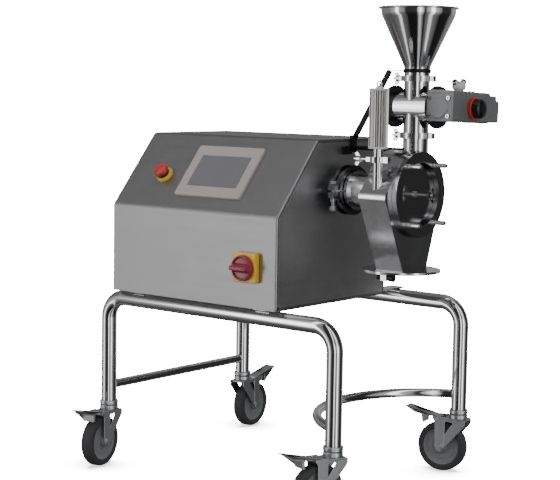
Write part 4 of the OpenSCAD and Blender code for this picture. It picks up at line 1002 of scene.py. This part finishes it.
class MILL_OT_filter(bpy.types.Operator):
    """Pleats the breather cartridge"""

    bl_idname = "mill.filter"
    bl_label = "Filter"

    def execute(self, context):
        low, high = box_mm("filter_cartridge")
        count = context.scene.mill_details.pleats
        centre = (low + high) / 2
        place = at(centre.x, centre.y, 0)
        joint = joint_mm("filter_nut_spin").z
        bottom, top, radius = joint + 24, joint + 157, (high.x - low.x) / 2
        shape = Shape()
        stem = [(8, joint), (14, joint), (14, joint + 2.6), (11, joint + 3.4), (11, bottom + 0.5),
                (8, bottom + 0.5)]
        shape.lathe(soften(stem, 0.6, steps=2), "cast_hardware", place, 40, loop=True)
        for z0, z1 in ((bottom, bottom + 5), (top - 5, top)):
            shape.pin(radius, z0, z1, "light_plastic", place, edge=1.2)
        # The darker core: painted shade behind the pleats.
        shape.pin(radius - 5.5, bottom + 4, top - 4, "media_shade", place, 40)
        knob = [(0, top - 1), (8, top - 1), (8, top + 2.6), (6, top + 4), (0, top + 4)]
        shape.lathe(soften(knob, [0, 0, 1, 1, 0], closed=False), "light_plastic", place, 32)
        eye = [(centre.x + 6 * math.cos(a), centre.y, top + 9 + 6 * math.sin(a))
               for a in [math.tau * i / 28 for i in range(28)]]
        shape.sweep(eye, 1.9, "cast_hardware", steps=12, loop=True)
        shape.finish("filter_cartridge")
        pleats = grow("pleats", {"Count": count, "Radius": (radius - 4.6) * MM, "Bar radius": 2.1 * MM,
                                 "Height": (top - bottom - 9) * MM, "Depth share": 2.0}, ring_of_bars,
                                 "media")
        moved(pleats, at(centre.x, centre.y, (top + bottom) / 2))
        settle("filter_pleats", pleats, ["media"], angle=60)
        return {"FINISHED"}


# ---------- stage ----------

# Camera: where it stands, how it is turned, and its lens.
CAMERA_AT = (2.2217, -2.8402, 0.9557)
CAMERA_TURN = 39.2
CAMERA_DIP = 6.0
CAMERA_ROLL = 0.9
CAMERA_LENS = 95.6
# Brightness of the white behind, and of the fill that matt surfaces get.
BACKDROP = 24.0
STUDIO_FILL = 0.4
# What polished metal reflects: upright strips of light with dark gaps between them, given as a
# compass angle in degrees from +X, turning towards +Y, and the brightness there.
STRIPS = (
    (-180, 0.3), (-158, 0.35), (-150, 0.5), (-134, 0.8), (-130, 5.5), (-124, 5.5), (-120, 0.7), (-101, 0.4),
    (-97, 0.06), (-61, 0.06), (-57, 1.6), (-51, 4.5), (-45, 1.6), (-40, 0.8), (-38, 0.08), (-33, 0.08),
    (-30, 0.6), (-18, 1.0), (-14, 5.5), (-6, 5.5), (-2, 1.0), (18, 0.4), (23, 0.05), (61, 0.06), (68, 0.5),
    (120, 0.5), (150, 0.3), (180, 0.3),
)
# How much of that is left at each height, from straight down (-1) over level (0) to straight up (1).
STRIP_HEIGHTS = ((-1, 0.2), (-0.65, 0.3), (-0.3, 0.55), (-0.12, 0.95), (0.15, 1.0), (0.34, 0.5), (0.6, 0.7),
                 (1, 0.8))
STRIP_TOP = 6.0

# Softboxes for the matt surfaces: name, place, point they face, width, height, watts.
SOFTBOXES = (
    ("left", (-0.95, -2.25, 1.35), (0.0, 0.0, 0.85), 2.3, 1.5, 22),
    ("right", (2.35, -0.6, 1.1), (0.2, 0.0, 0.9), 1.9, 1.5, 12),
    ("overhead", (-0.9, 0.2, 2.9), (0.0, 0.0, 0.6), 2.2, 1.6, 26),
    ("back", (1.6, 2.2, 1.6), (0.2, 0.0, 0.7), 0.9, 1.8, 14),
)


class MILL_OT_stage(bpy.types.Operator):
    """Sets the camera, the floor and the lights"""

    bl_idname = "mill.stage"
    bl_label = "Stage"

    def execute(self, context):
        self.camera(context.scene)
        self.floor(context.scene)
        self.world(context.scene)
        for name, spot, aim, width, height, watts in SOFTBOXES:
            light = bpy.data.lights.new(f"{name} softbox", "AREA")
            light.shape = "RECTANGLE"
            light.size, light.size_y, light.energy = width, height, watts
            obj = bpy.data.objects.new(f"{name}_softbox", light)
            context.scene.collection.objects.link(obj)
            obj.location = spot
            obj.rotation_euler = (Vector(aim) - Vector(spot)).to_track_quat("-Z", "Y").to_euler()
            obj.visible_camera = False
            obj.visible_glossy = False
        return {"FINISHED"}

    def camera(self, scene):
        """The camera, from its turn about Z, its dip below level and its roll."""
        turn, dip, roll = [math.radians(a) for a in (CAMERA_TURN, CAMERA_DIP, CAMERA_ROLL)]
        ahead = Vector((-math.sin(turn) * math.cos(dip), math.cos(turn) * math.cos(dip), -math.sin(dip)))
        right = Vector((math.cos(turn), math.sin(turn), 0))
        up = right.cross(ahead)
        x = right * math.cos(roll) + up * math.sin(roll)
        y = up * math.cos(roll) - right * math.sin(roll)
        data = bpy.data.cameras.new("camera")
        data.lens = CAMERA_LENS
        data.sensor_width = 36
        data.clip_end = 50
        obj = bpy.data.objects.new("camera", data)
        scene.collection.objects.link(obj)
        obj.matrix_world = Matrix.Translation(CAMERA_AT) @ Matrix((x, y, -ahead)).transposed().to_4x4()
        scene.camera = obj

    def floor(self, scene):
        """A pale sweep that goes over into the white behind. For the camera it glows, and ambient occlusion dims
        the glow into a painted shadow where things stand.
        """
        material, tree, shader, _ = blank("pale sweep")
        shader.inputs["Roughness"].default_value = 0.9
        shader.inputs["Base Color"].default_value = linear("8a8a8b")
        # Painted shadow: for the camera the sweep's glow drops from the backdrop's brightness to 1.6 where ambient
        # occlusion finds things close by.
        close = add(tree, "ShaderNodeAmbientOcclusion", {"Distance": 0.35, "samples": 8})
        bright = add(tree, "ShaderNodeMapRange", {"From Min": 0.55, "From Max": 0.97, "To Min": 1.6,
                                                  "To Max": BACKDROP}, {0: (close, "AO")})
        glow_with_painted_shadow = add(tree, "ShaderNodeEmission", {}, {"Strength": (bright, 0)})
        path = add(tree, "ShaderNodeLightPath")
        both = add(tree, "ShaderNodeMixShader", {}, {0: (path, "Is Camera Ray"), 1: (shader, 0), 2: (glow_with_painted_shadow, 0)})
        output = next(n for n in tree.nodes if n.type == "OUTPUT_MATERIAL")
        tree.links.new(both.outputs[0], output.inputs["Surface"])
        data = bpy.data.meshes.new("floor")
        reach = 14.0
        data.from_pydata([(-reach, -reach, 0), (reach, -reach, 0), (reach, reach, 0), (-reach, reach, 0)], [],
                         [(0, 1, 2, 3)])
        data.materials.append(material)
        obj = bpy.data.objects.new("floor", data)
        scene.collection.objects.link(obj)
        obj.visible_glossy = False

    def world(self, scene):
        """White behind the machine, strips of light in its metal, and an even fill on the rest."""
        world = bpy.data.worlds.new("studio")
        scene.world = world
        world.use_nodes = True
        tree = world.node_tree
        tree.nodes.clear()
        place = add(tree, "ShaderNodeTexCoord")
        parts = add(tree, "ShaderNodeSeparateXYZ", {}, {0: (place, "Generated")})
        compass = add(tree, "ShaderNodeMath", {"operation": "ARCTAN2"}, {0: (parts, "Y"), 1: (parts, "X")})
        around = add(tree, "ShaderNodeMapRange", {"From Min": -math.pi, "From Max": math.pi},
                     {0: (compass, 0)})
        upward = add(tree, "ShaderNodeMapRange", {"From Min": -1.0, "From Max": 1.0}, {0: (parts, "Z")})
        share = add(tree, "ShaderNodeMath", {"operation": "MULTIPLY"})
        for socket, (source, stops) in enumerate((
                (around, [((angle + 180) / 360, value / STRIP_TOP) for angle, value in STRIPS]),
                (upward, [((z + 1) / 2, value) for z, value in STRIP_HEIGHTS]))):
            ramp = add(tree, "ShaderNodeValToRGB", {}, {0: (source, 0)})
            elements = ramp.color_ramp.elements
            for element, (spot, value) in zip(elements, (stops[0], stops[-1])):
                element.position, element.color = spot, (value, value, value, 1)
            for spot, value in stops[1:-1]:
                elements.new(spot).color = (value, value, value, 1)
            tree.links.new(ramp.outputs[0], share.inputs[socket])
        glow = add(tree, "ShaderNodeMath", {"operation": "MULTIPLY", 1: STRIP_TOP}, {0: (share, 0)})
        polished = add(tree, "ShaderNodeBackground", {}, {"Strength": (glow, 0)})
        matt = add(tree, "ShaderNodeBackground", {"Strength": STUDIO_FILL})
        seen = add(tree, "ShaderNodeBackground", {"Strength": BACKDROP})
        path = add(tree, "ShaderNodeLightPath")
        first = add(tree, "ShaderNodeMixShader", {},
                    {0: (path, "Is Diffuse Ray"), 1: (polished, 0), 2: (matt, 0)})
        both = add(tree, "ShaderNodeMixShader", {}, {0: (path, "Is Camera Ray"), 1: (first, 0), 2: (seen, 0)})
        add(tree, "ShaderNodeOutputWorld", {}, {0: (both, 0)})


# ---------- add-on ----------

GROUPS = {"mill_stand": MillStand, "mill_cabinet": MillCabinet, "mill_details": MillDetails,
          "mill_colours": MillColours}
OPERATORS = (MILL_OT_stage, MILL_OT_frame_tubes, MILL_OT_casters, MILL_OT_cabinet, MILL_OT_controls,
             MILL_OT_drum, MILL_OT_feeder, MILL_OT_hopper, MILL_OT_filter)


class MILL_PT_sidebar(bpy.types.Panel):
    """Lists the mill's pieces and their sizes"""

    bl_idname = "MILL_PT_sidebar"
    bl_label = "Hammer mill"
    bl_space_type = "VIEW_3D"
    bl_region_type = "UI"
    bl_category = "Mill"

    def draw(self, context):
        for name, group in GROUPS.items():
            box = self.layout.box()
            for key in group.__annotations__:
                box.prop(getattr(context.scene, name), key)
        for operator in OPERATORS:
            self.layout.operator(operator.bl_idname)


def register():
    """Registers the property groups, the operators and the panel."""
    for name, group in GROUPS.items():
        bpy.utils.register_class(group)
        setattr(bpy.types.Scene, name, PointerProperty(type=group))
    for operator in OPERATORS:
        bpy.utils.register_class(operator)
    bpy.utils.register_class(MILL_PT_sidebar)


def unregister():
    """Takes everything away again."""
    bpy.utils.unregister_class(MILL_PT_sidebar)
    for operator in reversed(OPERATORS):
        bpy.utils.unregister_class(operator)
    for name, group in reversed(list(GROUPS.items())):
        delattr(bpy.types.Scene, name)
        bpy.utils.unregister_class(group)


def main():
    """Builds the machine."""
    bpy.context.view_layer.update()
    register()
    make_finishes(bpy.context.scene.mill_colours)
    for operator in OPERATORS:
        group, name = operator.bl_idname.split(".")
        getattr(getattr(bpy.ops, group), name)()


if __name__ == "__main__":
    main()
